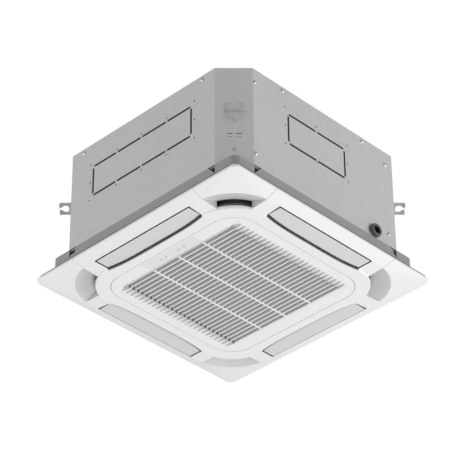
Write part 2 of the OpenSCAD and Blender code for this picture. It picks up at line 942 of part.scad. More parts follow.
module drain_pan() {
    trough_z = pan_z + pan_floor_t;
    color(foam_white) placed() difference() {
        slab(pan_z, pan_top) difference() {
            octagon(inner_half, inner_cut);
            circle(pan_open_r);
        }
        difference() {
            slab(trough_z, pan_top + overrun) difference() {
                rounded_square(coil_half + trough_gap, coil_r + trough_gap);
                rounded_square(coil_in - trough_gap, coil_in_r - trough_gap / 2);
            }
            for (k = [0 : 3], s = [-1, 1]) on_side(k) side_block(s * coil_rib_u - coil_rib_w / 2,
                s * coil_rib_u + coil_rib_w / 2, coil_in - 2 * trough_gap,
                coil_half + 2 * trough_gap, trough_z - overrun, coil_foot_z);
        }
        on_corner(0) side_block(-sump_half, sump_half, sump_in, sump_out, pan_z + sump_floor_t,
            pan_top + overrun);
        for (k = [0 : 3]) on_side(k) side_block(-duct_end, duct_end, duct_in, duct_out,
            pan_z - overrun, pan_top + overrun);
        side_rod(drain_u, drain_z, coil_half, body_half, spigot_d + fit_gap);
        for (k = [0 : 3]) on_corner(k) translate([0, -bolt_r, pan_z - overrun])
            cylinder(d = bolt_d + fit_gap, h = bolt_bite + 2 * overrun);
        slab(pan_z - overrun, pan_z + mouth_flange_t) circle(mouth_r + mouth_flange_w + fit_gap);
    }
}

module drain_socket() {
    color(near_black) placed() difference() {
        union() {
            side_rod(drain_u, drain_z, body_half, body_half + drain_reach, drain_d);
            side_rod(drain_u, drain_z, coil_half + trough_gap, body_half, spigot_d);
        }
        side_rod(drain_u, drain_z, coil_half, body_half + drain_reach + overrun, drain_bore);
    }
}

// Quarter bend of the hose in a plane through Z or flat
module hose_quarter() {
    rotate_extrude(angle = 90) translate([hose_bend, 0]) circle(d = hose_d);
}

module drain_hose() {
    pump_x = pump_r / sqrt(2);
    start_x = pump_x + volute_d / 2 + pump_stub_l;
    start_z = pan_top + pump_flange_t + pump_neck_h + volute_h / 2;
    rise_x = start_x + hose_bend;
    out_x = body_half + hose_reach;
    turn_y = -hose_out_y - hose_bend;
    color([0.3, 0.3, 0.31]) placed() difference() {
        union() {
            translate([start_x, -pump_x, start_z + hose_bend]) rotate([90, 0, 0])
                rotate([0, 0, -90]) hose_quarter();
            translate([rise_x, -pump_x, start_z + hose_bend])
                cylinder(d = hose_d, h = hose_z - start_z - 2 * hose_bend);
            translate([rise_x, hose_bend - pump_x, hose_z - hose_bend]) rotate([0, -90, 0])
                rotate([0, 0, -90]) hose_quarter();
            translate([rise_x, hose_bend - pump_x, hose_z]) rotate([-90, 0, 0])
                cylinder(d = hose_d, h = turn_y + pump_x - hose_bend);
            translate([rise_x + hose_bend, turn_y, hose_z]) rotate([0, 0, 90]) hose_quarter();
            translate([rise_x + hose_bend, -hose_out_y, hose_z]) rotate([0, 90, 0])
                cylinder(d = hose_d, h = body_half + overrun - rise_x - hose_bend);
            translate([body_half, -hose_out_y, hose_z]) rotate([0, 90, 0])
                cylinder(d = hose_end_d, h = hose_reach);
        }
        translate([out_x - hose_socket_l, -hose_out_y, hose_z]) rotate([0, 90, 0])
            cylinder(d = hose_socket_bore, h = hose_socket_l + overrun);
        translate([rise_x + hose_bend, -hose_out_y, hose_z]) rotate([0, 90, 0])
            cylinder(d = hose_bore, h = hose_bend + hose_reach);
    }
}

module drain_pump() {
    z1 = pan_top + pump_flange_t + pump_neck_h;
    z2 = z1 + volute_h;
    stub_z = z1 + volute_h / 2;
    foot_z = pan_z + sump_floor_t + pump_foot_gap;
    pump_x = pump_r / sqrt(2);
    color([0.82, 0.82, 0.8]) placed() difference() {
        union() {
            on_corner(0) side_block(-pump_flange_half, pump_flange_half, pump_r - pump_flange_w / 2,
                pump_r + pump_flange_w / 2, pan_top, pan_top + pump_flange_t);
            translate([pump_x, -pump_x, 0]) {
                translate([0, 0, foot_z]) cylinder(d = pump_suction_d, h = z1 - foot_z);
                translate([0, 0, pan_top]) cylinder(d = pump_neck_d, h = z1 - pan_top);
                translate([0, 0, z1]) cylinder(d = volute_d, h = volute_h);
                translate([0, 0, z2]) cylinder(d = pump_motor_d, h = pump_motor_h);
                translate([0, 0, stub_z]) rotate([0, 90, 0])
                    cylinder(d = pump_stub_d, h = volute_d / 2 + pump_stub_l);
            }
        }
        translate([pump_x, -pump_x, 0]) {
            translate([0, 0, foot_z - overrun])
                cylinder(d = pump_suction_bore, h = z1 + volute_wall - foot_z + 2 * overrun);
            translate([0, 0, z1 + volute_wall])
                cylinder(d = volute_d - 2 * volute_wall, h = volute_h - 2 * volute_wall);
            translate([0, 0, z2 - volute_wall - overrun])
                cylinder(d = rotor_d + 2 * run_gap, h = volute_wall + overrun + rotor_l);
            translate([0, 0, stub_z]) rotate([0, 90, 0])
                cylinder(d = pump_stub_bore, h = volute_d / 2 + pump_stub_l + overrun);
        }
    }
}

module pump_impeller() {
    z0 = pan_top + pump_flange_t + pump_neck_h + volute_wall + impeller_gap;
    pump_x = pump_r / sqrt(2);
    color(near_black) placed() translate([pump_x, -pump_x, z0]) {
        cylinder(d = impeller_hub_d, h = impeller_h);
        for (a = [0 : 90 : 270]) rotate([0, 0, a]) translate([0, -impeller_blade_t / 2, 0])
            cube([impeller_d / 2, impeller_blade_t, impeller_h]);
        cylinder(d = rotor_d, h = volute_h - 2 * volute_wall - impeller_gap + rotor_l);
    }
}

float_x = (float_r + float_u) / sqrt(2);
float_y = (float_r - float_u) / sqrt(2);
stem_z = pan_z + sump_floor_t + stem_foot;
float_z = stem_z + stop_h + move_gap;

module float_switch() {
    color([0.85, 0.85, 0.82]) placed() on_corner(0) {
        side_block(float_u - float_arm_w / 2, float_arm_to, float_r - float_arm_w / 2,
            float_r + float_arm_w / 2, pan_top, pan_top + float_arm_t);
        translate([float_u, -float_r, stem_z]) {
            cylinder(d = stem_d, h = pan_top - stem_z);
            cylinder(d = stop_d, h = stop_h);
        }
    }
}

module float_ball() {
    color([0.9, 0.88, 0.8]) placed() translate([float_x, -float_y, float_z]) difference() {
        cylinder(d = float_d, h = float_h);
        translate([0, 0, -overrun]) cylinder(d = stem_d + 2 * run_gap, h = float_h + 2 * overrun);
    }
}

// Fan, motor and bell mouth

fan_top = fan_z + fan_h;
dome_z = fan_top - dome_h;
motor_top = top_z - sheet_t - mount_h;
motor_z = motor_top - motor_h;

module turbo_fan() {
    inlet_r = throat_d / 2 + shell_t + inlet_gap;
    shroud_w = fan_r - inlet_r;
    steps = [0 : 90 / blade_steps : 90];
    color(white_plastic) placed() difference() {
        union() {
            translate([0, 0, fan_z]) rotate_extrude() polygon(concat(
                [for (a = steps) [fan_r - shroud_w * cos(a), shroud_h * sin(a)]],
                [for (a = steps) [fan_r - (shroud_w - shell_t) * sin(a),
                    (shroud_h - shell_t) * cos(a)]]));
            rotate_extrude() polygon([[dome_foot_r, dome_z], [dome_r, fan_top - shell_t],
                [fan_r, fan_top - shell_t], [fan_r, fan_top], [dome_r - shell_t, fan_top],
                [dome_foot_r - shell_t, dome_z + shell_t], [0, dome_z + shell_t], [0, dome_z]]);
            translate([0, 0, dome_z]) cylinder(r = hub_r, h = hub_h);
            for (i = [0 : blade_count - 1]) rotate([0, 0, 360 * i / blade_count])
                slab(fan_z + shroud_h - blade_edge, fan_top - shell_t / 2) fan_blade_2d();
        }
        translate([0, 0, dome_z - overrun])
            cylinder(d = shaft_d + 2 * run_gap, h = hub_h + 2 * overrun);
    }
}

function blade_point(t, side) = let (r = blade_in_r + (fan_r - blade_edge - blade_in_r) * t,
    a = -blade_sweep * t - side * blade_t / (2 * r) * 180 / PI) [r * cos(a), r * sin(a)];

module fan_blade_2d() {
    polygon(concat([for (i = [0 : blade_steps]) blade_point(i / blade_steps, 1)],
        [for (i = [blade_steps : -1 : 0]) blade_point(i / blade_steps, -1)]));
}

module motor_shaft() {
    color([0.75, 0.76, 0.78]) placed() translate([0, 0, dome_z - shaft_tail])
        cylinder(d = shaft_d, h = motor_z + motor_h / 2 + shaft_tail - dome_z);
}

module fan_nut() {
    color(brass) placed() translate([0, 0, dome_z]) difference() {
        union() {
            translate([0, 0, -washer_t]) cylinder(d = washer_d, h = washer_t);
            translate([0, 0, -washer_t - nut_h]) cylinder(d = fan_nut_d, h = nut_h, $fn = 6);
        }
        translate([0, 0, -washer_t - nut_h - overrun])
            cylinder(d = shaft_d + run_gap, h = nut_h + washer_t + 2 * overrun);
    }
}

module fan_motor() {
    color(near_black) placed() difference() {
        union() {
            rotate_extrude() polygon([[0, motor_z - motor_neck_h], [motor_neck_r, motor_z - motor_neck_h],
                [motor_neck_r, motor_z], [motor_r - motor_round, motor_z],
                [motor_r, motor_z + motor_round], [motor_r, motor_top - motor_round],
                [motor_r - motor_round, motor_top], [0, motor_top]]);
            for (k = [0 : 3]) on_corner(k) {
                side_block(-mount_d / 2, mount_d / 2, 0, mount_r, motor_top - ear_plate_t, motor_top);
                translate([0, -mount_r, motor_top - ear_plate_t])
                    cylinder(d = mount_d, h = ear_plate_t);
            }
        }
        for (k = [0 : 3]) on_corner(k) translate([0, -mount_r, motor_top - ear_plate_t - overrun])
            cylinder(d = mount_bolt_d + 2 * mount_room, h = ear_plate_t + 2 * overrun);
        translate([0, 0, motor_z - motor_neck_h - overrun])
            cylinder(d = shaft_d + 2 * run_gap, h = motor_neck_h + motor_h / 2 + 2 * overrun);
    }
}

module motor_mounts() {
    color([0.1, 0.1, 0.1]) placed() for (k = [0 : 3]) on_corner(k)
        translate([0, -mount_r, motor_top]) difference() {
            cylinder(d = mount_d, h = mount_h);
            translate([0, 0, -overrun])
                cylinder(d = mount_bolt_d + 2 * mount_room, h = mount_h + 2 * overrun);
        }
}

module motor_bolts() {
    color(steel_light) placed() for (k = [0 : 3]) on_corner(k)
        translate([0, -mount_r, motor_top - ear_plate_t - mount_nut_h]) {
            cylinder(d = mount_nut_d, h = mount_nut_h, $fn = 6);
            cylinder(d = mount_bolt_d - mount_room, h = mount_nut_h + ear_plate_t + mount_h + sheet_t);
        }
}

module bell_mouth() {
    throat_r = throat_d / 2;
    rise = fan_z - mouth_collar / 2 - pan_z;
    w = mouth_r - throat_r;
    steps = [0 : 90 / mouth_steps : 90];
    color(white_plastic) placed() translate([0, 0, pan_z]) rotate_extrude() polygon(concat(
        [[throat_r + shell_t, rise + mouth_collar], [throat_r, rise + mouth_collar]],
        [for (a = steps) [mouth_r - w * cos(a), rise - rise * sin(a)]],
        [[mouth_r + mouth_flange_w, 0], [mouth_r + mouth_flange_w, mouth_flange_t],
            [mouth_r, mouth_flange_t]],
        [for (a = steps) [mouth_r - (w - shell_t) * sin(a), rise - (rise - mouth_flange_t) * cos(a)]]));
}

// Electrical parts

box_low_z = pan_z - box_h;

module control_box() {
    color(steel) placed() difference() {
        union() {
            difference() {
                translate([-box_x0, box_y0, box_low_z]) cube([2 * box_x0, box_y1 - box_y0, box_h]);
                translate([box_t - box_x0, box_y0 + box_t, box_low_z - overrun])
                    cube([2 * (box_x0 - box_t), box_y1 - box_y0 - 2 * box_t, box_h + overrun - box_t]);
            }
            for (x = [2 * post_d - board_x0, board_x1 - 2 * post_d],
                y = [box_y0 + board_in + post_d, box_y1 - board_in - post_d])
                translate([x, y, pan_z - box_t - post_h]) cylinder(d = post_d, h = post_h);
        }
        // The bell mouth's flange lies over the box, so the box is notched round the mouth
        translate([0, 0, pan_z - box_t - overrun]) cylinder(r = mouth_r, h = box_t + 2 * overrun);
    }
}

module control_box_lid() {
    color(steel_light) placed() translate([-box_x0, box_y0, box_low_z - box_t])
        cube([2 * box_x0, box_y1 - box_y0, box_t]);
}

module circuit_board() {
    top = pan_z - box_t - post_h;
    low = top - board_t;
    y_mid = (box_y0 + box_y1) / 2;
    color(board_green) placed() {
        translate([-board_x0, box_y0 + board_in, low])
            cube([board_x0 + board_x1, box_y1 - box_y0 - 2 * board_in, board_t]);
        for (i = [1 : part_count])
            translate([i * (board_x0 + board_x1) / (part_count + 1) - board_x0, y_mid, low - part_h])
                cylinder(d = part_d, h = part_h);
    }
}

module terminal_block() {
    color([0.85, 0.82, 0.7]) placed() difference() {
        translate([board_x1 + terminal_gap, (box_y0 + box_y1 - terminal_w) / 2,
            pan_z - box_t - terminal_h]) cube([terminal_l, terminal_w, terminal_h]);
        for (i = [0.5 : 1 : 3.5]) translate([board_x1 + terminal_gap + terminal_l * i / 4,
            (box_y0 + box_y1) / 2, pan_z - box_t - terminal_h - overrun])
            cylinder(d = terminal_l / 8, h = terminal_h / 2);
    }
}

// Panel

// Thick slab from the face at height z up to the panel's back
module face_slab(half, r, z) {
    slab(z, back_z) rounded_square(half, r, $fn = hull_fn);
}

module panel_blank() {
    hull() {
        face_slab(panel_half, panel_r, edge_z);
        face_slab(crease_half, crease_r, crease_z);
    }
    hull() {
        face_slab(crease_half, crease_r, crease_z);
        face_slab(ring_half, ring_r, ring_z);
    }
    hull() {
        face_slab(ring_half, ring_r, ring_z);
        face_slab(ring_half - ring_bevel, ring_r - ring_bevel, face_z);
    }
}

// Plan of a corner cover's zone in the corner after side 0, drawn in by the seam
module cover_zone(inset) {
    a = cover_start + inset;
    b = cover_start + cover_spread + inset;
    far = panel_half + overrun;
    polygon([[a, -a], [crease_half, -a], [far, -b], [far, -far], [b, -far], [a, -crease_half]]);
}

// Slot in the corner, seen in the corner's frame
module corner_slot_2d(r0, r1, half) {
    mid = (ring_half - ring_r) * sqrt(2);
    intersection() {
        translate([0, -mid]) difference() {
            circle(r1);
            circle(r0);
        }
        translate([-half, -mid - r1 - overrun]) square([2 * half, r1 + overrun]);
    }
}

// Inner edge of an outlet, which curls outwards towards its ends
function curl(u, end) = outlet_curl * pow(abs(u) / end, curl_power);

// Plan of an outlet opening, grown by a margin
module outlet_2d(out, inner, end, grow) {
    polygon(concat([[-end - grow, -out - grow], [end + grow, -out - grow]],
        [for (i = [curl_steps : -1 : -curl_steps]) let (u = (end + grow) * i / curl_steps)
            [u, -inner + grow - curl(u, end + grow)]]));
}

module panel_frame() {
    color(white_plastic) placed() difference() {
        union() {
            difference() {
                panel_blank();
                slab(band_back_z, back_z + overrun) difference() {
                    rounded_square(crease_half - band_wall, crease_r - band_wall);
                    for (k = [0 : 3]) on_side(k) cover_zone(-wall_t);
                }
                slab(skin_t, back_z + overrun)
                    rounded_square(ring_half - wall_t, ring_r - wall_t);
            }
            for (k = [0 : 3]) on_side(k) slab(skin_t, back_z)
                outlet_2d(outlet_out, outlet_in, outlet_end, wall_t);
            slab(face_z, back_z) difference() {
                rounded_square(open_half + wall_t, open_r + wall_t);
                rounded_square(open_half, open_r);
            }
        }
        slab(face_z - overrun, back_z + overrun) rounded_square(open_half, open_r);
        for (k = [0 : 3]) on_side(k) {
            slab(face_z - overrun, back_z + overrun)
                outlet_2d(outlet_out, outlet_in, outlet_end, 0);
            slab(face_z - overrun, seat_z) difference() {
                cover_zone(0);
                rounded_square(ring_half, ring_r);
            }
            slab(face_z - overrun, back_z + overrun) difference() {
                cover_zone(0);
                rounded_square(panel_half - cover_rim_w - fit_gap, panel_r);
            }
            difference() {
                corner_recess();
                slab(face_z - 2 * overrun, recess_z + 2 * overrun) rounded_square(ring_half, ring_r);
            }
            for (s = [-1, 1]) along_rod(s * (outlet_end + wall_t / 2) - wall_t,
                s * (outlet_end + wall_t / 2) + wall_t, pivot_r, pivot_z,
                vane_pin_d + 2 * run_gap);
        }
        for (k = [0 : 3]) on_corner(k) {
            slab(ring_lip_z, back_z + overrun)
                corner_slot_2d(ring_r - 2 * wall_t, ring_r + seam, slot_half);
            translate([0, -bolt_r, seat_z - overrun])
                cylinder(d = bolt_d + 2 * fit_gap, h = back_z - seat_z + 2 * overrun);
        }
    }
}

module corner_cover(k) {
    color(white_plastic) placed() on_side(k) difference() {
        intersection() {
            panel_blank();
            slab(face_z - overrun, back_z + overrun) difference() {
                cover_zone(seam);
                rounded_square(ring_half + seam, ring_r + seam);
            }
        }
        slab(seat_z, back_z + overrun)
            rounded_square(panel_half - cover_rim_w, panel_r);
        corner_recess();
        rotate([0, 0, 45]) translate([0, -bolt_r, seat_z - bolt_head_h - fit_gap])
            cylinder(d = bolt_head_d + 2 * bolt_room, h = bolt_head_h + fit_gap + overrun);
    }
}

// Room of a corner recess: its roof slants up from the crease to above the ring's outline
module corner_recess() {
    hull() {
        slab(face_z - overrun, crease_z) cover_crescent_2d($fn = hull_fn);
        slab(recess_z, recess_z + overrun) intersection() {
            rounded_square(ring_half, ring_r, $fn = hull_fn);
            cover_zone(0);
        }
    }
}

module cover_crescent_2d() {
    intersection() {
        rounded_square(crease_half - seam, crease_r - seam);
        cover_zone(0);
    }
}

module corner_cover_1() { corner_cover(0); }
module corner_cover_2() { corner_cover(1); }
module corner_cover_3() { corner_cover(2); }
module corner_cover_4() { corner_cover(3); }

module panel_base() {
    deck_z = body_z - deck_t;
    rim_in = body_half - base_out_wall;
    start = outlet_end + wall_t;
    color(frame_grey) placed() difference() {
        union() {
            difference() {
                slab(back_z, body_z) rounded_square(body_half, rim_r);
                slab(back_z - overrun, body_z + overrun) rounded_square(base_in, base_in_r);
                for (k = [0 : 3]) on_side(k) {
                    slab(back_z - overrun, body_z + overrun)
                        outlet_2d(outlet_out, outlet_in, outlet_end, 0);
                    slab(back_z - overrun, deck_z) difference() {
                        intersection() {
                            rounded_square(rim_in, rim_r - base_out_wall);
                            translate([start, -rim_in]) square([rim_in - start, rim_in - start]);
                        }
                        rounded_square(base_in + wall_t, base_in_r + wall_t);
                        rotate([0, 0, 45]) translate([0, -bolt_r]) circle(bolt_d / 2 + boss_wall);
                    }
                    slab(back_z - overrun, deck_z) intersection() {
                        translate([-start, -outlet_in + wall_t + vane_gap])
                            square([2 * start, outlet_in - wall_t - vane_gap - base_in - wall_t]);
                        rounded_square(ring_half, ring_r);
                    }
                }
            }
            for (s = [-1, 1], t = [-1, 1]) arm_sleeve(s, t, sleeve_wall);
            for (s = [-1, 1]) catch_housing(s);
            on_side(3) side_block(-block_to, -block_from, body_half - base_out_wall,
                body_half + block_t, back_z, back_z + block_h);
        }
        for (k = [0 : 3], s = [0, 1]) on_side(k) mirror([s, 0, 0]) rim_notch();
        for (k = [0 : 3]) on_corner(k) translate([0, -bolt_r, back_z - overrun])
            cylinder(d = bolt_d + 2 * fit_gap, h = rim_h + 2 * overrun);
        for (s = [-1, 1], t = [-1, 1]) arm_sleeve(s, t, 0);
        on_side(3) side_block(-notch_out, -block_to, body_half - base_out_wall - overrun,
            body_half + overrun, body_z - block_notch_h, body_z + overrun);
        for (s = [-1, 1]) translate([base_in - catch_in, s * catch_y, catch_box_z0 - overrun])
            cylinder(d = catch_d + 2 * run_gap, h = catch_box_h + 2 * overrun);
    }
}

// Triangular notch in the rim beside each fold, its floor falling towards the corner
module rim_notch() {
    translate([0, -body_half + base_out_wall + overrun, 0]) rotate([90, 0, 0])
        linear_extrude(base_out_wall + 2 * overrun)
            polygon([[notch_in, body_z + overrun], [notch_in, body_z], [notch_out, body_z - notch_depth],
                [notch_out, body_z + overrun]]);
}

// Side of an arm's beam, s for the hinge and t for the side of the ear
function arm_y(s, t) = s * hinge_y + t * (hinge_ear_w / 2 + arm_gap + arm_t / 2) - arm_t / 2;

// Sleeve on the base wall for an arm's beam, or with no wall its bore
module arm_sleeve(s, t, wall) {
    side = move_gap + wall;
    root = wall > 0 ? base_in + wall_t / 2 : base_in;
    tip = wall > 0 ? base_in - sleeve_l : base_in - sleeve_l - overrun;
    translate([-root, arm_y(s, t) - side, arm_beam_z - side])
        cube([root - tip, arm_t + 2 * side, arm_beam_h + 2 * side]);
}

// Arm that carries one end of a grille hinge pin; it slides inwards as the grille swings down
module hinge_arm(s, t) {
    reach = hinge_pin_d / 2 + arm_wall;
    translate([-hinge_x, arm_y(s, t), hinge_z]) rotate([-90, 0, 0]) cylinder(r = reach, h = arm_t);
    translate([-hinge_x - reach, arm_y(s, t), hinge_z])
        cube([reach + arm_depth, arm_t, arm_beam_z + arm_beam_h - hinge_z]);
    translate([move_gap - base_in, arm_y(s, t), arm_beam_z])
        cube([base_in - move_gap - hinge_x + arm_depth, arm_t, arm_beam_h]);
}

module hinge_slides() {
    color(frame_grey) placed() difference() {
        for (s = [-1, 1], t = [-1, 1]) hinge_arm(s, t);
        for (s = [-1, 1]) translate([-hinge_x, s * hinge_y - hinge_ear_w * 2, hinge_z])
            rotate([-90, 0, 0]) cylinder(d = hinge_pin_d + 2 * run_gap, h = hinge_ear_w * 4);
    }
}

module catch_housing(s) {
    translate([base_in - catch_box_d, s * catch_y - catch_box_w / 2, catch_box_z0])
        cube([catch_box_d + wall_t / 2, catch_box_w, catch_box_h]);
}

module catch_plunger(s) {
    low = strike_h + move_gap;
    top = catch_box_z0 + catch_box_h + move_gap;
    color([0.3, 0.3, 0.3]) placed() translate([base_in - catch_in, s * catch_y, 0]) {
        translate([0, 0, low]) cylinder(d = catch_d, h = top + catch_head_h - low);
        translate([0, 0, top]) cylinder(d = catch_head_d, h = catch_head_h);
        translate([0, 0, catch_box_z0 - catch_travel - move_gap - catch_collar_h])
            cylinder(d = catch_collar_d, h = catch_collar_h);
    }
}

module catch_plunger_1() { catch_plunger(-1); }
module catch_plunger_2() { catch_plunger(1); }

gasket_w = 14;
gasket_inset = 1;
gasket_short = 18;

module panel_gasket() {
    color([0.4, 0.4, 0.4]) placed() for (k = [0 : 3]) on_side(k)
        side_block(gasket_short - panel_half, panel_half - gasket_short,
            panel_half - gasket_inset - gasket_w, panel_half - gasket_inset, back_z, gasket_z);
}

module vane(k) {
    mid = vane_end - ear_t;
    color(vane_grey) placed() on_side(k) {
        slab(vane_z, vane_z + vane_t) outlet_2d(vane_out, vane_in, vane_end, 0);
        side_block(-mid, mid, vane_rib_r, vane_rib_r + vane_rib_t, vane_z + vane_t / 2, vane_rib_z);
        for (s = [-1, 1]) {
            along_rod(min(s * mid, s * vane_end), max(s * mid, s * vane_end), pivot_r, pivot_z,
                2 * ear_r);
            side_block(min(s * mid, s * vane_end), max(s * mid, s * vane_end), pivot_r - ear_r,
                vane_rib_r + vane_rib_t, vane_z + vane_t / 2, pivot_z);
        }
        along_rod(-outlet_end - wall_t + move_gap, -mid, pivot_r, pivot_z, vane_pin_d);
        along_rod(mid, outlet_end + wall_t + motor_pin_l, pivot_r, pivot_z, vane_pin_d);
    }
}

module vane_1() { vane(0); }
module vane_2() { vane(1); }
module vane_3() { vane(2); }
module vane_4() { vane(3); }

module vane_motors() {
    start = outlet_end + wall_t;
    mid_z = pivot_z + vane_motor_lift;
    color([0.85, 0.85, 0.87]) placed() for (k = [0 : 3]) on_side(k) difference() {
        union() {
            along_rod(start, start + vane_motor_l, pivot_r, mid_z, vane_motor_d);
            side_block(start, start + vane_motor_ear_t, pivot_r - vane_motor_d / 2 - vane_motor_ear,
                pivot_r + vane_motor_d / 2 + vane_motor_ear, mid_z - vane_motor_ear_h / 2,
                mid_z + vane_motor_ear_h / 2);
        }
        along_rod(start - overrun, start + motor_pin_l + move_gap, pivot_r, pivot_z,
            vane_pin_d + 2 * run_gap);
    }
}

// Slot i of the grille, as its middle along X
function slot_x(i) = (i - (slot_count - 1) / 2) * slot_pitch;

module display_plan() {
    translate([-grille_w / 2 + display_off, -display_l / 2]) square([display_w, display_l]);
}

module intake_grille() {
    half = grille_w / 2;
    color(white_plastic) placed() difference() {
        union() {
            slab(face_z, grille_t) rounded_square(half, grille_r);
            slab(face_z, slat_d) square([2 * field_half, field_l], center = true);
            for (s = [-1, 1]) translate([-rib_span, s * (half - rib_inset - rib_t / 2) - rib_t / 2,
                face_z]) cube([2 * rib_span, rib_t, grille_t + rib_h]);
            translate([half - rib_inset - rib_t, -rib_span, face_z])
                cube([rib_t, 2 * rib_span, grille_t + rib_h]);
            for (s = [-1, 1]) {
                translate([-hinge_x, s * hinge_y - hinge_ear_w / 2, hinge_z]) rotate([-90, 0, 0])
                    cylinder(r = hinge_ear_r, h = hinge_ear_w);
                translate([-hinge_x - hinge_ear_r, s * hinge_y - hinge_ear_w / 2, grille_t / 2])
                    cube([2 * hinge_ear_r, hinge_ear_w, hinge_z - grille_t / 2]);
                translate([-hinge_x, s * hinge_y - hinge_ear_w / 2 - arm_gap - arm_t, hinge_z])
                    rotate([-90, 0, 0])
                        cylinder(d = hinge_pin_d, h = hinge_ear_w + 2 * arm_gap + 2 * arm_t);
                translate([base_in - catch_in, s * catch_y, grille_t / 2])
                    cylinder(d = strike_d, h = strike_h - grille_t / 2);
            }
        }
        for (i = [0 : slot_count - 1]) grille_slot(slot_x(i));
        translate([0, 0, face_z - overrun]) linear_extrude(display_t + overrun) display_plan();
    }
    color(white_plastic) placed() for (j = [-1 : 1])
        translate([-field_half, j * bar_off - bar_w / 2, face_z + grille_t / 4])
            cube([2 * field_half, bar_w, slat_d - grille_t / 4]);
}

// One leaning slot with a shallow groove running out at each end
module grille_slot(x) {
    translate([x, field_l / 2, 0]) rotate([90, 0, 0]) linear_extrude(field_l)
        polygon([[-slot_open / 2 - slat_lean / slat_d, -overrun],
            [slot_open / 2 - slat_lean / slat_d, -overrun],
            [slot_open / 2 + slat_lean, slat_d + overrun],
            [-slot_open / 2 + slat_lean, slat_d + overrun]]);
    for (s = [0, 1]) mirror([0, s, 0]) translate([x - slot_open / 2, 0, 0]) rotate([90, 0, 90])
        linear_extrude(slot_open)
            polygon([[field_l / 2 - overrun, -overrun], [field_l / 2 + groove_l, -overrun],
                [field_l / 2 + groove_l, 0], [field_l / 2 - overrun, groove_d]]);
}

module display_window() {
    color([0.95, 0.95, 0.96]) placed() slab(face_z, face_z + display_t) display_plan();
}

module filter_frame() {
    pitch = (2 * field_half - filter_rib) / filter_cells;
    color([0.5, 0.55, 0.6]) placed() translate([0, 0, slat_d]) {
        linear_extrude(filter_h) difference() {
            square(2 * field_half, center = true);
            square(2 * (field_half - filter_rim), center = true);
        }
        for (i = [1 : filter_cells - 1]) {
            translate([i * pitch - field_half, -field_half, 0]) cube([filter_rib, 2 * field_half, filter_h]);
            translate([-field_half, i * pitch - field_half, 0]) cube([2 * field_half, filter_rib, filter_h]);
        }
    }
}

module filter_mesh() {
    color([0.35, 0.4, 0.45]) placed() translate([0, 0, slat_d + filter_h + mesh_t / 2])
        cube([2 * field_half, 2 * field_half, mesh_t], center = true);
}

module panel_bolts() {
    color(steel_light) placed() for (k = [0 : 3]) on_corner(k)
        translate([0, -bolt_r, seat_z - bolt_head_h]) {
            cylinder(d = bolt_head_d, h = bolt_head_h);
            cylinder(d = bolt_d, h = bolt_head_h + pan_z + bolt_bite - seat_z);
        }
}

top_plate();
side_plate_drain();
side_plate_pipe();
side_plate_wiring();
side_plate_duct();
corner_plate_1();
corner_plate_2();
corner_plate_3();
corner_plate_4();
hanger_bracket_1();
hanger_bracket_2();
hanger_bracket_3();
hanger_bracket_4();
casing_screws();
cable_gland();
casing_liner();
coil_fins();
coil_tubes();
coil_end_plates();
refrigerant_pipes();
flare_nuts();
pipe_cover();
drain_pan();
drain_socket();
drain_hose();
drain_pump();
pump_impeller();
float_switch();
float_ball();
fan_motor();
motor_shaft();
motor_mounts();
motor_bolts();
turbo_fan();
fan_nut();
bell_mouth();
control_box();
control_box_lid();
circuit_board();
terminal_block();
panel_frame();
panel_base();
panel_gasket();
corner_cover_1();
corner_cover_2();
corner_cover_3();
corner_cover_4();
vane_1();
vane_2();
vane_3();
vane_4();
vane_motors();
hinge_slides();
display_window();
intake_grille();
catch_plunger_1();
catch_plunger_2();
filter_frame();
filter_mesh();
panel_bolts();
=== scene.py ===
"""Looks of a compact four-way ceiling cassette air conditioner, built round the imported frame."""

import logging
import math
from dataclasses import dataclass, field
from enum import Enum
from typing import Any, Mapping, Optional, Sequence, Union

import bpy
import numpy as np
from mathutils import Matrix, Vector


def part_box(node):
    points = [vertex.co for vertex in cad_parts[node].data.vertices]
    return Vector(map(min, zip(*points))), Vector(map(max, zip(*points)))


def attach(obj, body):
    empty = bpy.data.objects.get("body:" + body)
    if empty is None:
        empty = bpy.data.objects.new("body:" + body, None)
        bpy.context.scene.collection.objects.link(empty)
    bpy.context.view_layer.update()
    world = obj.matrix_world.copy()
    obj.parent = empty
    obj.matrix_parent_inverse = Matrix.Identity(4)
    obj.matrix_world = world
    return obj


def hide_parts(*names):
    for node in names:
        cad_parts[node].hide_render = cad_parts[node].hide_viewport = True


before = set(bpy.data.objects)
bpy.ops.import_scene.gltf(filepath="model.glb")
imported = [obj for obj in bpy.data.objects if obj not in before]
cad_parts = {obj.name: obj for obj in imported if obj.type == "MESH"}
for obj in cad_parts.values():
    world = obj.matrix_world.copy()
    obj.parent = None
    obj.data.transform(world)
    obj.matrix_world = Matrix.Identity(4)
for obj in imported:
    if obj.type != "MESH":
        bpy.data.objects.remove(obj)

LOG = logging.getLogger("cassette")
MM = 0.001
Color = tuple[float, float, float]
Triple = tuple[float, float, float]
Span = tuple[float, float]
Number = Union[float, int, "Wire"]


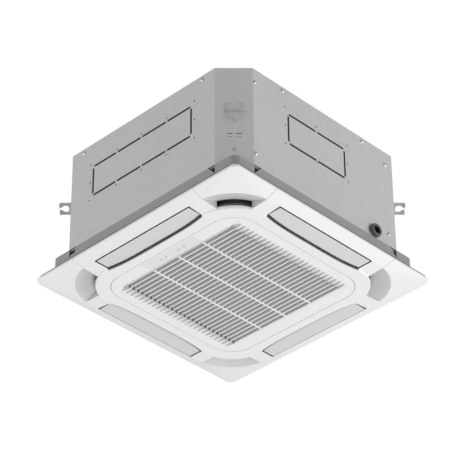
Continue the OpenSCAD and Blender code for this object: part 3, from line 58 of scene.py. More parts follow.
class Wire:
    """A shader socket that takes part in Python arithmetic; each operator adds one Math node."""

    def __init__(self, graph: "Graph", socket: bpy.types.NodeSocket) -> None:
        """Keeps the socket and the graph that it belongs to."""
        self.graph = graph
        self.socket = socket

    def __add__(self, other: Number) -> "Wire":
        """Sum."""
        return self.graph.math("ADD", self, other)

    __radd__ = __add__

    def __sub__(self, other: Number) -> "Wire":
        """Difference."""
        return self.graph.math("SUBTRACT", self, other)

    def __rsub__(self, other: Number) -> "Wire":
        """Difference, the other way round."""
        return self.graph.math("SUBTRACT", other, self)

    def __mul__(self, other: Number) -> "Wire":
        """Product."""
        return self.graph.math("MULTIPLY", self, other)

    __rmul__ = __mul__

    def __truediv__(self, other: Number) -> "Wire":
        """Quotient."""
        return self.graph.math("DIVIDE", self, other)

    def __lt__(self, other: Number) -> "Wire":
        """1 where this is less than the other, else 0."""
        return self.graph.math("LESS_THAN", self, other)

    def __abs__(self) -> "Wire":
        """Size without sign."""
        return self.graph.math("ABSOLUTE", self)

    def wave(self, pitch: float) -> "Wire":
        """Cosine of this length with the given pitch, from -1 to 1."""
        return self.graph.math("COSINE", self * (2 * math.pi / pitch))

    def swing(self, amount: float) -> "Wire":
        """This value from 0 to 1, moved and scaled to swing round 0 over that amount."""
        return (self - 0.5) * amount

    def step(self, low: float, high: float) -> "Wire":
        """Smooth step from 0 at low to 1 at high.

        Args:
            low: Value at and below which the result is 0.
            high: Value at and above which the result is 1.

        Returns:
            The smoothed value.
        """
        node = self.graph.node("ShaderNodeMapRange", {"interpolation_type": "SMOOTHSTEP"},
                               {"Value": self, "From Min": low, "From Max": high})
        return Wire(self.graph, node.outputs["Result"])


class Graph:
    """The node tree of one material, with one method that adds any node."""

    def __init__(self, name: str) -> None:
        """Makes an empty material.

        Args:
            name: Its name.
        """
        self.material = bpy.data.materials.new(name)
        self.material.use_nodes = True
        self.tree = self.material.node_tree
        self.tree.nodes.clear()

    def node(self, kind: str, settings: Optional[Mapping[str, Any]] = None,
             sockets: Optional[Mapping[Union[str, int], Any]] = None) -> bpy.types.Node:
        """Adds a node, sets it up, then fills its sockets.

        Args:
            kind: The node's type name.
            settings: Properties, set before the sockets.
            sockets: A value, a Wire or a socket for each named input.

        Returns:
            The new node.
        """
        made = self.tree.nodes.new(kind)
        for key, value in (settings or {}).items():
            setattr(made, key, value)
        for key, value in (sockets or {}).items():
            plug = made.inputs[key]
            if isinstance(value, Wire):
                self.tree.links.new(value.socket, plug)
            elif isinstance(value, bpy.types.NodeSocket):
                self.tree.links.new(value, plug)
            else:
                plug.default_value = value
        return made

    def math(self, operation: str, *values: Number) -> Wire:
        """Adds a Math node of that operation and returns its result."""
        made = self.node("ShaderNodeMath", {"operation": operation}, dict(enumerate(values)))
        return Wire(self, made.outputs[0])

    def place(self) -> bpy.types.NodeSocket:
        """The point on the piece in the row frame, in metres."""
        return self.node("ShaderNodeTexCoord").outputs["Object"]

    def axes(self) -> tuple[Wire, Wire, Wire]:
        """The point's three coordinates, in metres."""
        made = self.node("ShaderNodeSeparateXYZ", {}, {"Vector": self.place()})
        return tuple(Wire(self, made.outputs[i]) for i in range(3))

    def noise(self, size: float, detail: float = 2.0, roughness: float = 0.5,
              stretch: Triple = (1.0, 1.0, 1.0)) -> Wire:
        """Noise from 0 to 1.

        Args:
            size: Rough width of one blotch, in metres.
            detail: Number of finer layers.
            roughness: Strength of the finer layers.
            stretch: Factor on each axis; a small one draws the blotches out along it.

        Returns:
            The noise value.
        """
        mapped = self.node("ShaderNodeMapping", {}, {"Vector": self.place(), "Scale": stretch})
        made = self.node("ShaderNodeTexNoise", {}, {"Vector": mapped.outputs[0], "Scale": 1.0 / size,
                                                    "Detail": detail, "Roughness": roughness})
        return Wire(self, made.outputs["Fac"])

    def cells(self, size: float, output: str = "Color") -> bpy.types.NodeSocket:
        """Voronoi cells of that width, as a random colour or a distance."""
        made = self.node("ShaderNodeTexVoronoi", {}, {"Vector": self.place(), "Scale": 1.0 / size})
        return made.outputs[output]

    def gray(self, socket: bpy.types.NodeSocket) -> Wire:
        """Brightness of a colour socket."""
        return Wire(self, self.node("ShaderNodeRGBToBW", {}, {"Color": socket}).outputs[0])

    def mix(self, factor: Number, low: Any, high: Any) -> bpy.types.NodeSocket:
        """Blends two colours.

        Args:
            factor: 0 gives low, 1 gives high.
            low: A colour or a colour socket.
            high: A colour or a colour socket.

        Returns:
            The blended colour's socket.
        """
        def rgba(value: Any) -> Any:
            """A colour with its alpha, or the socket itself."""
            return (*value, 1.0) if isinstance(value, tuple) and len(value) == 3 else value
        made = self.node("ShaderNodeMix", {"data_type": "RGBA"},
                         {0: factor, 6: rgba(low), 7: rgba(high)})
        return made.outputs[2]

    def bump(self, height: Wire, depth: float, strength: float = 1.0) -> bpy.types.NodeSocket:
        """Normal of a surface with that height field.

        Args:
            height: The height, from 0 to 1.
            depth: What a height of 1 stands for, in metres.
            strength: The Bump node's strength.

        Returns:
            The normal's socket.
        """
        made = self.node("ShaderNodeBump", {}, {"Height": height, "Distance": depth,
                                                "Strength": strength})
        return made.outputs["Normal"]

    def surface(self, **sockets: Any) -> bpy.types.Material:
        """Adds the Principled shader and the output, and returns the material.

        Args:
            sockets: The shader's inputs, with _ for a space in their names.

        Returns:
            The finished material.
        """
        named = {key.replace("_", " "): value for key, value in sockets.items()}
        for key, value in named.items():
            if isinstance(value, tuple) and len(value) == 3 and "Normal" not in key:
                named[key] = (*value, 1.0)
        shader = self.node("ShaderNodeBsdfPrincipled", {}, named)
        self.node("ShaderNodeOutputMaterial", {}, {"Surface": shader.outputs[0]})
        return self.material


@dataclass(frozen=True)
class Finish:
    """What every finish has.

    Attributes:
        name: The material's name.
        slot: The record's slot that it stands for; not used.
        color: Base colour.
    """

    name: str
    slot: str
    color: Color

    def tone(self, factor: float) -> Color:
        """The base colour times a factor, each part at most 1."""
        return tuple(min(1.0, c * factor) for c in self.color)


@dataclass(frozen=True)
class Moulding(Finish):
    """Injection-moulded plastic or rubber with a faint grain and slow changes of shade.

    Attributes:
        rough: Mean roughness.
        grain: Depth of the moulded grain, in metres.
        grain_size: Width of the grain, in metres.
        drift: How far the shade changes over the piece.
        gloss: Strength of the clear gloss.
        gloss_rough: Roughness of the gloss.
        blotch: Width of the slow changes, in metres.
        rough_blotch: How far the roughness changes with them.
        rough_grain: How far it changes with the grain.
    """

    rough: float = 0.5
    grain: float = 0.00003
    grain_size: float = 0.0012
    drift: float = 0.02
    gloss: float = 0.0
    gloss_rough: float = 0.12
    blotch: float = 0.11
    rough_blotch: float = 0.08
    rough_grain: float = 0.06

    def make(self) -> bpy.types.Material:
        """Builds the material.

        Returns:
            The material.
        """
        g = Graph(self.name)
        shade = g.noise(self.blotch, detail=3.0, roughness=0.55)
        fine = g.noise(self.grain_size, roughness=0.6)
        return g.surface(Base_Color=g.mix(shade, self.tone(1 - self.drift), self.tone(1 + self.drift)),
                         Roughness=self.rough + shade.swing(self.rough_blotch)
                         + fine.swing(self.rough_grain),
                         Coat_Weight=self.gloss, Coat_Roughness=self.gloss_rough,
                         Normal=g.bump(fine, self.grain))


@dataclass(frozen=True)
class SheetSteel(Finish):
    """Galvanised sheet: soft crystal flakes under a satin skin, with a rolling grain.

    Attributes:
        rough: Mean roughness.
        metal: Share of the metallic look.
        flake: Width of a zinc flake, in metres.
        contrast: How far the flakes differ in shade.
        up: Axis of the rolling grain, 0 to 2.
        drawn: How much narrower the grain's pattern is along that axis.
        relief: Depth of grain and flakes, in metres.
        blotch: Width of the slow changes of shade, in metres.
        grain: Width of the rolling grain, in metres.
        shares: Parts of flakes, slow changes and grain in the shade.
        grain_share: Part of the grain in the relief; the flakes have the rest.
        rough_flake: How far the roughness changes with the flakes.
        rough_blotch: How far it changes with the slow changes.
    """

    rough: float = 0.42
    metal: float = 0.6
    flake: float = 0.007
    contrast: float = 0.05
    up: int = 2
    drawn: float = 0.03
    relief: float = 0.00003
    blotch: float = 0.16
    grain: float = 0.0016
    shares: Triple = (0.45, 0.35, 0.2)
    grain_share: float = 0.6
    rough_flake: float = 0.08
    rough_blotch: float = 0.06

    def make(self) -> bpy.types.Material:
        """Builds the material.

        Returns:
            The material.
        """
        g = Graph(self.name)
        flake = g.gray(g.cells(self.flake))
        broad = g.noise(self.blotch, detail=3.0)
        roll = g.noise(self.grain, stretch=tuple(self.drawn if i == self.up else 1.0 for i in range(3)))
        shade = flake * self.shares[0] + broad * self.shares[1] + roll * self.shares[2]
        relief = roll * self.grain_share + flake * (1 - self.grain_share)
        return g.surface(Base_Color=g.mix(shade, self.tone(1 - self.contrast), self.tone(1 + self.contrast)),
                         Roughness=self.rough + flake.swing(self.rough_flake)
                         + broad.swing(self.rough_blotch),
                         Metallic=self.metal, Normal=g.bump(relief, self.relief))


@dataclass(frozen=True)
class BareMetal(Finish):
    """Turned or drawn metal with fine marks.

    Attributes:
        rough: Mean roughness.
        tarnish: Share of the darker, duller patches.
        relief: Depth of the marks, in metres.
        patch: Width of the patches, in metres.
        patch_edge: Noise values between which a patch fades in.
        mark: Width of the marks, in metres.
        rough_patch: How far the roughness changes with the patches.
        rough_mark: How far it changes with the marks.
    """

    rough: float = 0.3
    tarnish: float = 0.25
    relief: float = 0.00002
    patch: float = 0.012
    patch_edge: Span = (0.35, 0.65)
    mark: float = 0.0006
    rough_patch: float = 0.2
    rough_mark: float = 0.1

    def make(self) -> bpy.types.Material:
        """Builds the material.

        Returns:
            The material.
        """
        g = Graph(self.name)
        patch = g.noise(self.patch, detail=4.0, roughness=0.6)
        marks = g.noise(self.mark)
        dull = patch.step(*self.patch_edge)
        return g.surface(Base_Color=g.mix(dull, self.color, self.tone(1 - self.tarnish)),
                         Roughness=self.rough + patch.swing(self.rough_patch)
                         + marks.swing(self.rough_mark),
                         Metallic=1.0, Normal=g.bump(marks, self.relief))


@dataclass(frozen=True)
class Foam(Finish):
    """Foam with closed cells that show as small dimples, with painted shade in them.

    Attributes:
        cell: Width of one cell, in metres.
        depth: Depth of the dimples, in metres.
        shade: Brightness of the dimples against the rest, painted shade in the hollows.
        rough: Mean roughness.
        blotch: Width of the slow changes, in metres.
        blotch_share: Part of them in the darkening; the painted shade of the dimples has the rest.
        rough_blotch: How far the roughness changes with them.
    """

    cell: float = 0.0022
    depth: float = 0.0003
    shade: float = 0.85
    rough: float = 0.86
    blotch: float = 0.05
    blotch_share: float = 0.6
    rough_blotch: float = 0.1

    def make(self) -> bpy.types.Material:
        """Builds the material.

        Returns:
            The material.
        """
        g = Graph(self.name)
        hollow = Wire(g, g.cells(self.cell, "Distance"))
        tint = g.noise(self.blotch)
        # Random blotches mixed with painted shade, darker where the cells' bump is low.
        shade = tint * self.blotch_share + hollow * (1 - self.blotch_share)
        return g.surface(Base_Color=g.mix(shade, self.color, self.tone(self.shade)),
                         Roughness=self.rough + tint.swing(self.rough_blotch),
                         Normal=g.bump(1 - hollow, self.depth))


@dataclass(frozen=True)
class FinStack(Finish):
    """A block of thin aluminium fins, whose edges show as fine upright lines, with painted shade in the gaps
    between them.

    Attributes:
        pitch: Distance between two fins, in metres.
        relief: Depth of the gaps between them, in metres.
        corner: Width over which the lines change from one side to the next, in metres.
        gap_shade: Brightness of the gaps against the fins, painted shade between them.
        worn_shade: Brightness of dull fins against clean ones.
        worn: Width of the dull patches, in metres.
        edge_step: Wave heights between which a gap turns into a fin.
        rough: Roughness of clean fins.
        rough_worn: How much rougher dull ones are.
        metal: Share of the metallic look.
    """

    pitch: float = 0.0016
    relief: float = 0.0004
    corner: float = 0.002
    gap_shade: float = 0.25
    worn_shade: float = 0.9
    worn: float = 0.03
    edge_step: Span = (0.2, 0.8)
    rough: float = 0.35
    rough_worn: float = 0.2
    metal: float = 0.85

    def make(self) -> bpy.types.Material:
        """Builds the material.

        Returns:
            The material.
        """
        g = Graph(self.name)
        x, y, _ = g.axes()
        on_x = (abs(y) - abs(x)).step(-self.corner, self.corner)
        edge = (x.wave(self.pitch) * on_x + y.wave(self.pitch) * (1 - on_x)) * 0.5 + 0.5
        worn = g.noise(self.worn, detail=4.0, roughness=0.6)
        fins = g.mix(worn, self.tone(self.worn_shade), self.color)
        front = edge.step(*self.edge_step)
        # Painted shade: the gaps between the fins are drawn darker.
        return g.surface(Base_Color=g.mix(front, self.tone(self.gap_shade), fins),
                         Roughness=self.rough + worn * self.rough_worn, Metallic=self.metal,
                         Normal=g.bump(edge, self.relief))


@dataclass(frozen=True)
class Laminate(Finish):
    """A lacquered circuit board with printed tracks and bare pads.

    Attributes:
        pad: Colour of the bare pads.
        track_x: Mean distance between two tracks along X, in metres.
        track_y: The same along Y.
        pads: Distance between two pads, in metres.
        relief: Height of the tracks, in metres.
        pad_size: Radius of a pad, as a share of that distance.
        pad_metal: Share of the metallic look of a pad.
        bend: Width of the bends in the tracks, in metres.
        track_step: Heights between which a track begins.
        track_tone: Brightness of a track against the lacquer.
        rough: Roughness of the lacquer.
        rough_track: How much rougher a track is.
    """

    pad: Color = (0.7, 0.6, 0.35)
    track_x: float = 0.0052
    track_y: float = 0.0097
    pads: float = 0.006
    relief: float = 0.00005
    pad_size: float = 0.13
    pad_metal: float = 0.8
    bend: float = 0.014
    track_step: Span = (0.6, 0.7)
    track_tone: float = 1.7
    rough: float = 0.35
    rough_track: float = 0.1

    def make(self) -> bpy.types.Material:
        """Builds the material.

        Returns:
            The material.
        """
        g = Graph(self.name)
        x, y, _ = g.axes()
        rows = x.wave(self.track_x) * 0.5 + y.wave(self.track_y) * 0.5
        tracks = (rows + g.noise(self.bend, detail=1.0)).step(*self.track_step)
        pads = Wire(g, g.cells(self.pads, "Distance")) < self.pad_size
        lacquer = g.mix(tracks, self.color, self.tone(self.track_tone))
        return g.surface(Base_Color=g.mix(pads, lacquer, self.pad),
                         Roughness=self.rough + tracks * self.rough_track,
                         Metallic=pads * self.pad_metal,
                         Normal=g.bump(tracks, self.relief))


@dataclass(frozen=True)
class Net(Finish):
    """A woven filter net with a square mesh of about a millimetre, with painted shade in its holes.

    Attributes:
        pitch: Distance between two threads, in metres.
        relief: Height of the threads, in metres.
        hole_shade: Brightness of the holes against the threads, painted shade seen through them.
        dust_shade: Brightness of dusty threads against clean ones.
        dust: Width of the dusty patches, in metres.
        thread_step: Wave heights between which a hole turns into a thread.
        rough: Roughness of clean threads.
        rough_dust: How much rougher dusty ones are.
    """

    pitch: float = 0.0014
    relief: float = 0.0003
    hole_shade: float = 0.12
    dust_shade: float = 1.25
    dust: float = 0.05
    thread_step: Span = (0.55, 0.9)
    rough: float = 0.8
    rough_dust: float = 0.1

    def make(self) -> bpy.types.Material:
        """Builds the material.

        Returns:
            The material.
        """
        g = Graph(self.name)
        x, y, _ = g.axes()
        thread = g.math("MAXIMUM", x.wave(self.pitch) * 0.5 + 0.5, y.wave(self.pitch) * 0.5 + 0.5)
        dust = g.noise(self.dust, detail=3.0, roughness=0.6)
        threads = g.mix(dust, self.color, self.tone(self.dust_shade))
        front = thread.step(*self.thread_step)
        # Painted shade: the holes between the threads are drawn dark.
        return g.surface(Base_Color=g.mix(front, self.tone(self.hole_shade), threads),
                         Roughness=self.rough + dust * self.rough_dust,
                         Normal=g.bump(thread, self.relief))


def gray(level: float) -> Color:
    """A neutral colour of that brightness."""
    return (level, level, level)


class Coats(Enum):
    """Every finish of the object."""

    CASING = SheetSteel("galvanised_sheet", "galvanised_steel", (0.70, 0.70, 0.69))
    BRACKET = SheetSteel("pressed_steel", "galvanised_steel", (0.60, 0.60, 0.595), rough=0.4, flake=0.005)
    BOX = SheetSteel("box_steel", "galvanised_steel", gray(0.52), rough=0.36, metal=0.75, flake=0.009,
                     contrast=0.06, up=0)
    SCREW = BareMetal("zinc_plated", "bright_steel", (0.68, 0.69, 0.70), rough=0.28, tarnish=0.2)
    COPPER = BareMetal("drawn_copper", "copper", (0.72, 0.36, 0.22), tarnish=0.35)
    BRASS = BareMetal("turned_brass", "brass", (0.74, 0.56, 0.25), rough=0.28)
    RUBBER = Moulding("black_rubber", "black_rubber", (0.018, 0.018, 0.019), rough=0.55, grain=0.00006,
                      grain_size=0.0008, drift=0.2)
    SOCKET = Moulding("socket_rubber", "black_rubber", gray(0.10), rough=0.6, grain=0.00006,
                      grain_size=0.0008, drift=0.15)
    HOSE = Moulding("grey_rubber", "grey_rubber", (0.10, 0.10, 0.105), rough=0.6, grain=0.00006,
                    grain_size=0.001, drift=0.12)
    LINER = Foam("liner_foam", "liner_foam", (0.03, 0.03, 0.032))
    # Near-black foam; also the painted shade in the vanes' gaps, in the drain bore and deep in the outlets.
    DARK_FOAM_AND_SHADE = Foam("dark_foam_and_painted_shade", "liner_foam", (0.012, 0.012, 0.013))
    GASKET = Foam("gasket_foam", "liner_foam", (0.10, 0.10, 0.105), cell=0.0016, depth=0.0002)
    PAN = Foam("pan_foam", "pan_foam", (0.72, 0.72, 0.69), cell=0.0035, depth=0.0002)
    FINS = FinStack("coil_fins", "coil_aluminium", (0.66, 0.69, 0.73))
    PALE = Moulding("pale_plastic", "pale_plastic", (0.66, 0.66, 0.645), rough=0.45, grain_size=0.0011,
                    drift=0.03)
    BLACK = Moulding("black_plastic", "black_plastic", (0.025, 0.025, 0.027), rough=0.42, grain=0.00005,
                     drift=0.15)
    BOARD = Laminate("circuit_board", "green_board", (0.012, 0.14, 0.06))
    WHITE = Moulding("white_plastic", "white_plastic", gray(0.84), rough=0.36, grain=0.00002, drift=0.012,
                     gloss=0.1)
    # White plastic drawn darker: painted shade in the corner recesses.
    RECESS_SHADE = Moulding("recess_painted_shade", "white_plastic", gray(0.60))
    # White plastic drawn grey: painted shade on the slats' sides in the slots.
    SLAT_SHADE = Moulding("slat_painted_shade", "white_plastic", (0.40, 0.40, 0.405), rough=0.55)
    # Dark grey: painted shade on the walls behind the corner slots.
    SLOT_SHADE = Moulding("slot_painted_shade", "grey_plastic", gray(0.24), rough=0.6, drift=0.05)
    # White plastic drawn darker: painted shade in the finger grooves.
    GROOVE_SHADE = Moulding("groove_painted_shade", "white_plastic", gray(0.50))
    # Near-black: painted shade in the slots' ends.
    SLOT_END_SHADE = Moulding("slot_end_painted_shade", "white_plastic", gray(0.06))
    # White plastic drawn grey: painted shade on the outlets' inner walls.
    LIP_SHADE = Moulding("lip_painted_shade", "white_plastic", gray(0.42))
    LENS = Moulding("lens_plastic", "window_plastic", (0.54, 0.54, 0.545), rough=0.25, grain=0.00001,
                    gloss=0.3)
    RIM = Moulding("grey_plastic", "grey_plastic", (0.345, 0.338, 0.334), grain=0.00005,
                   grain_size=0.0013, drift=0.05)
    VANE = Moulding("vane_plastic", "vane_plastic", (0.67, 0.67, 0.672), rough=0.42, grain=0.00002)
    WINDOW = Moulding("window_plastic", "window_plastic", (0.77, 0.77, 0.775), rough=0.22,
                      grain=0.00001, drift=0.01, gloss=0.4)
    FILTER = Moulding("filter_plastic", "filter_plastic", (0.22, 0.26, 0.31), grain_size=0.0011,
                      drift=0.03)
    NET = Net("filter_net", "filter_net", (0.16, 0.18, 0.2))


class Paint:
    """Makes each material once and puts it on pieces."""

    def __init__(self) -> None:
        """Starts with no material made."""
        self.made: dict[Coats, bpy.types.Material] = {}

    def coat(self, obj: bpy.types.Object, coat: Coats) -> None:
        """Gives a piece one finish.

        Args:
            obj: The piece.
            coat: The finish.
        """
        if coat not in self.made:
            self.made[coat] = coat.value.make()
        obj.data.materials.clear()
        obj.data.materials.append(self.made[coat])

    def dress(self, obj: bpy.types.Object, coat: Coats, body: str, *nodes: str) -> None:
        """Makes a piece ride on a body and stand for CAD nodes, then gives it its finish.

        Args:
            obj: The piece.
            coat: The finish.
            body: The body that carries it.
            nodes: The CAD nodes that it stands for, if any.
        """
        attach(obj, body)
        if nodes:
            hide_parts(*nodes)
        self.coat(obj, coat)


@dataclass(frozen=True)
class Eye:
    """The photograph's camera, in the row frame.

    Attributes:
        place: Where the camera stands, in metres.
        yaw: Direction of view from +X towards +Y, in radians.
        pitch: Upward tilt, in radians.
        roll: Turn about the line of view, in radians.
        focal: Focal length as a share of the picture's width.
        sensor: Width of the sensor, in mm.
        clip: Nearest and farthest distance that is seen, in metres.
    """

    place: Triple = (-3.02497, -2.93334, -2.97449)
    yaw: float = 0.774
    pitch: float = 0.6078
    roll: float = -0.0066
    focal: float = 2280.70 / 450
    sensor: float = 36.0
    clip: Span = (0.1, 100.0)

    def build(self) -> None:
        """Makes the camera and sets it as the scene's."""
        ahead = np.array([math.cos(self.pitch) * math.cos(self.yaw),
                          math.cos(self.pitch) * math.sin(self.yaw), math.sin(self.pitch)])
        right = np.array([math.sin(self.yaw), -math.cos(self.yaw), 0.0])
        up = np.cross(right, ahead)
        side = right * math.cos(self.roll) + up * math.sin(self.roll)
        top = up * math.cos(self.roll) - right * math.sin(self.roll)
        data = bpy.data.cameras.new("eye")
        data.sensor_width = self.sensor
        data.lens = self.focal * self.sensor
        data.clip_start, data.clip_end = self.clip
        obj = bpy.data.objects.new("eye", data)
        bpy.context.scene.collection.objects.link(obj)
        obj.matrix_world = Matrix([[side[i], top[i], -ahead[i], self.place[i]] for i in range(3)]
                                  + [[0.0, 0.0, 0.0, 1.0]])
        bpy.context.scene.camera = obj


@dataclass(frozen=True)
class Lamp:
    """One soft studio light.

    Attributes:
        name: Its name.
        place: Where it stands, in metres.
        size: Width of its square face, in metres.
        power: Its power, in watts.
        aim: The point that it faces.
    """

    name: str
    place: Triple
    size: float
    power: float
    aim: Triple = (0.0, 0.0, -0.1)

    def build(self) -> None:
        """Makes the light."""
        data = bpy.data.lights.new(self.name, "AREA")
        data.shape, data.size, data.energy = "SQUARE", self.size, self.power
        obj = bpy.data.objects.new(self.name, data)
        bpy.context.scene.collection.objects.link(obj)
        turn = (Vector(self.place) - Vector(self.aim)).to_track_quat("Z", "Y")
        obj.matrix_world = Matrix.Translation(self.place) @ turn.to_matrix().to_4x4()


@dataclass
class Studio:
    """Pale floor, pale surroundings, soft lights and the camera.

    Attributes:
        floor_z: Height of the floor, well under the unit.
        floor_half: Half the floor's width.
        floor_tones: The floor's darkest and brightest tone.
        floor_blotch: Width of the blotches between them.
        floor_rough: The floor's roughness.
        backdrop: Brightness of the white surroundings in the picture.
        glow: Brightness of the light that the surroundings throw on the unit.
        lamps: The lights.
    """

    floor_z: float = -7.0
    floor_half: float = 60.0
    floor_tones: Span = (0.9, 0.93)
    floor_blotch: float = 3.0
    floor_rough: float = 0.8
    backdrop: float = 1.02
    glow: float = 0.5
    lamps: tuple[Lamp, ...] = (
        Lamp("right", (2.7, -3.4, -1.1), 2.4, 90.0),
        Lamp("left", (-3.6, 2.4, -1.0), 2.4, 60.0),
        Lamp("under", (0.4, -1.2, -4.4), 3.0, 85.0),
    )

    def surroundings(self) -> bpy.types.World:
        """Makes the white surroundings: one brightness for the picture, another for the light.

        Returns:
            The surroundings.
        """
        world = bpy.data.worlds.new("studio")
        world.use_nodes = True
        tree = world.node_tree
        back = tree.nodes["Background"]
        back.inputs["Color"].default_value = (1.0, 1.0, 1.0, 1.0)
        seen = tree.nodes.new("ShaderNodeLightPath")
        level = tree.nodes.new("ShaderNodeMapRange")
        level.inputs["To Min"].default_value = self.glow
        level.inputs["To Max"].default_value = self.backdrop
        tree.links.new(seen.outputs["Is Camera Ray"], level.inputs["Value"])
        tree.links.new(level.outputs["Result"], back.inputs["Strength"])
        return world

    def floor(self) -> bpy.types.Object:
        """Makes the floor, a square with soft blotches.

        Returns:
            The floor.
        """
        corners = [(x * self.floor_half, y * self.floor_half, self.floor_z)
                   for x, y in ((-1, -1), (1, -1), (1, 1), (-1, 1))]
        mesh = bpy.data.meshes.new("floor")
        mesh.from_pydata(corners, [], [(0, 1, 2, 3)])
        floor = bpy.data.objects.new("floor", mesh)
        bpy.context.scene.collection.objects.link(floor)
        graph = Graph("studio_floor")
        low, high = (gray(tone) for tone in self.floor_tones)
        mesh.materials.append(graph.surface(
            Base_Color=graph.mix(graph.noise(self.floor_blotch), low, high), Roughness=self.floor_rough))
        return floor

    def build(self) -> None:
        """Makes the whole studio."""
        bpy.context.scene.world = self.surroundings()
        bpy.context.scene.view_settings.view_transform = "Standard"
        self.floor()
        for lamp in self.lamps:
            lamp.build()
        Eye().build()


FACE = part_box("intake_grille")[0][2] / MM
PANEL_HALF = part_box("panel_frame")[1][0] / MM
TURNS = ((1, 0), (0, 1), (-1, 0), (0, -1))
WELD_DECIMALS = 7
EDGE_STEPS = 2


def plan(u: np.ndarray, r: np.ndarray, k: int) -> tuple[np.ndarray, np.ndarray]:
    """x and y of a point of side k: (u, -r) turned by k quarters about the unit's axis."""
    cosine, sine = TURNS[k]
    return u * cosine + r * sine, u * sine - r * cosine


def on_side(u: np.ndarray, r: np.ndarray, z: np.ndarray, k: int = 0) -> np.ndarray:
    """Points of side k in the row frame.

    Args:
        u: Distance along the side from its middle, in mm.
        r: Distance outwards from the unit's axis, in mm.
        z: Height above the face of the grille, in mm.
        k: The side, 0 to 3; each is the first one turned by a quarter about the unit's axis.

    Returns:
        The points in metres, with the coordinates in the last axis.
    """
    u, r, z = np.broadcast_arrays(np.asarray(u, float), np.asarray(r, float), np.asarray(z, float))
    return np.stack([*plan(u, r, k), z + FACE], axis=-1) * MM


def ruled(rows: Sequence[tuple[Any, Any, Any]], k: int) -> np.ndarray:
    """Grid of side k with one row for each line of points, given as its u, r and z."""
    return np.stack([on_side(*row, k) for row in rows])


def upright(u: np.ndarray, r: np.ndarray, low: float, high: float, k: int) -> np.ndarray:
    """Grid of an upright band on side k: the line of the given u and r at two heights."""
    return ruled([(u, r, low), (u, r, high)], k)


def direction(u: float, r: float, k: int) -> np.ndarray:
    """Level direction in the row frame that leads by u along side k and by r outwards."""
    return np.array([*plan(u, r, k), 0.0])


def arc_point(centre: float, radius: float, turn: np.ndarray) -> tuple[np.ndarray, np.ndarray]:
    """Point on a corner arc: centre + radius times (sine, cosine) of the turn from the side's normal."""
    return centre + radius * np.sin(turn), centre + radius * np.cos(turn)


def contour_r(half: float, radius: float, u: np.ndarray) -> np.ndarray:
    """Distance outwards of a rounded square at u: half on the straight part, then its corner's circle."""
    over = np.clip(np.abs(u) - (half - radius), 0.0, radius)
    return half - radius + np.sqrt(radius ** 2 - over ** 2)


def outlook(points: np.ndarray, quads: np.ndarray) -> np.ndarray:
    """Normal of each quad, as long as twice its area: the cross product of its two diagonals."""
    return np.cross(points[quads[:, 2]] - points[quads[:, 0]], points[quads[:, 3]] - points[quads[:, 1]])


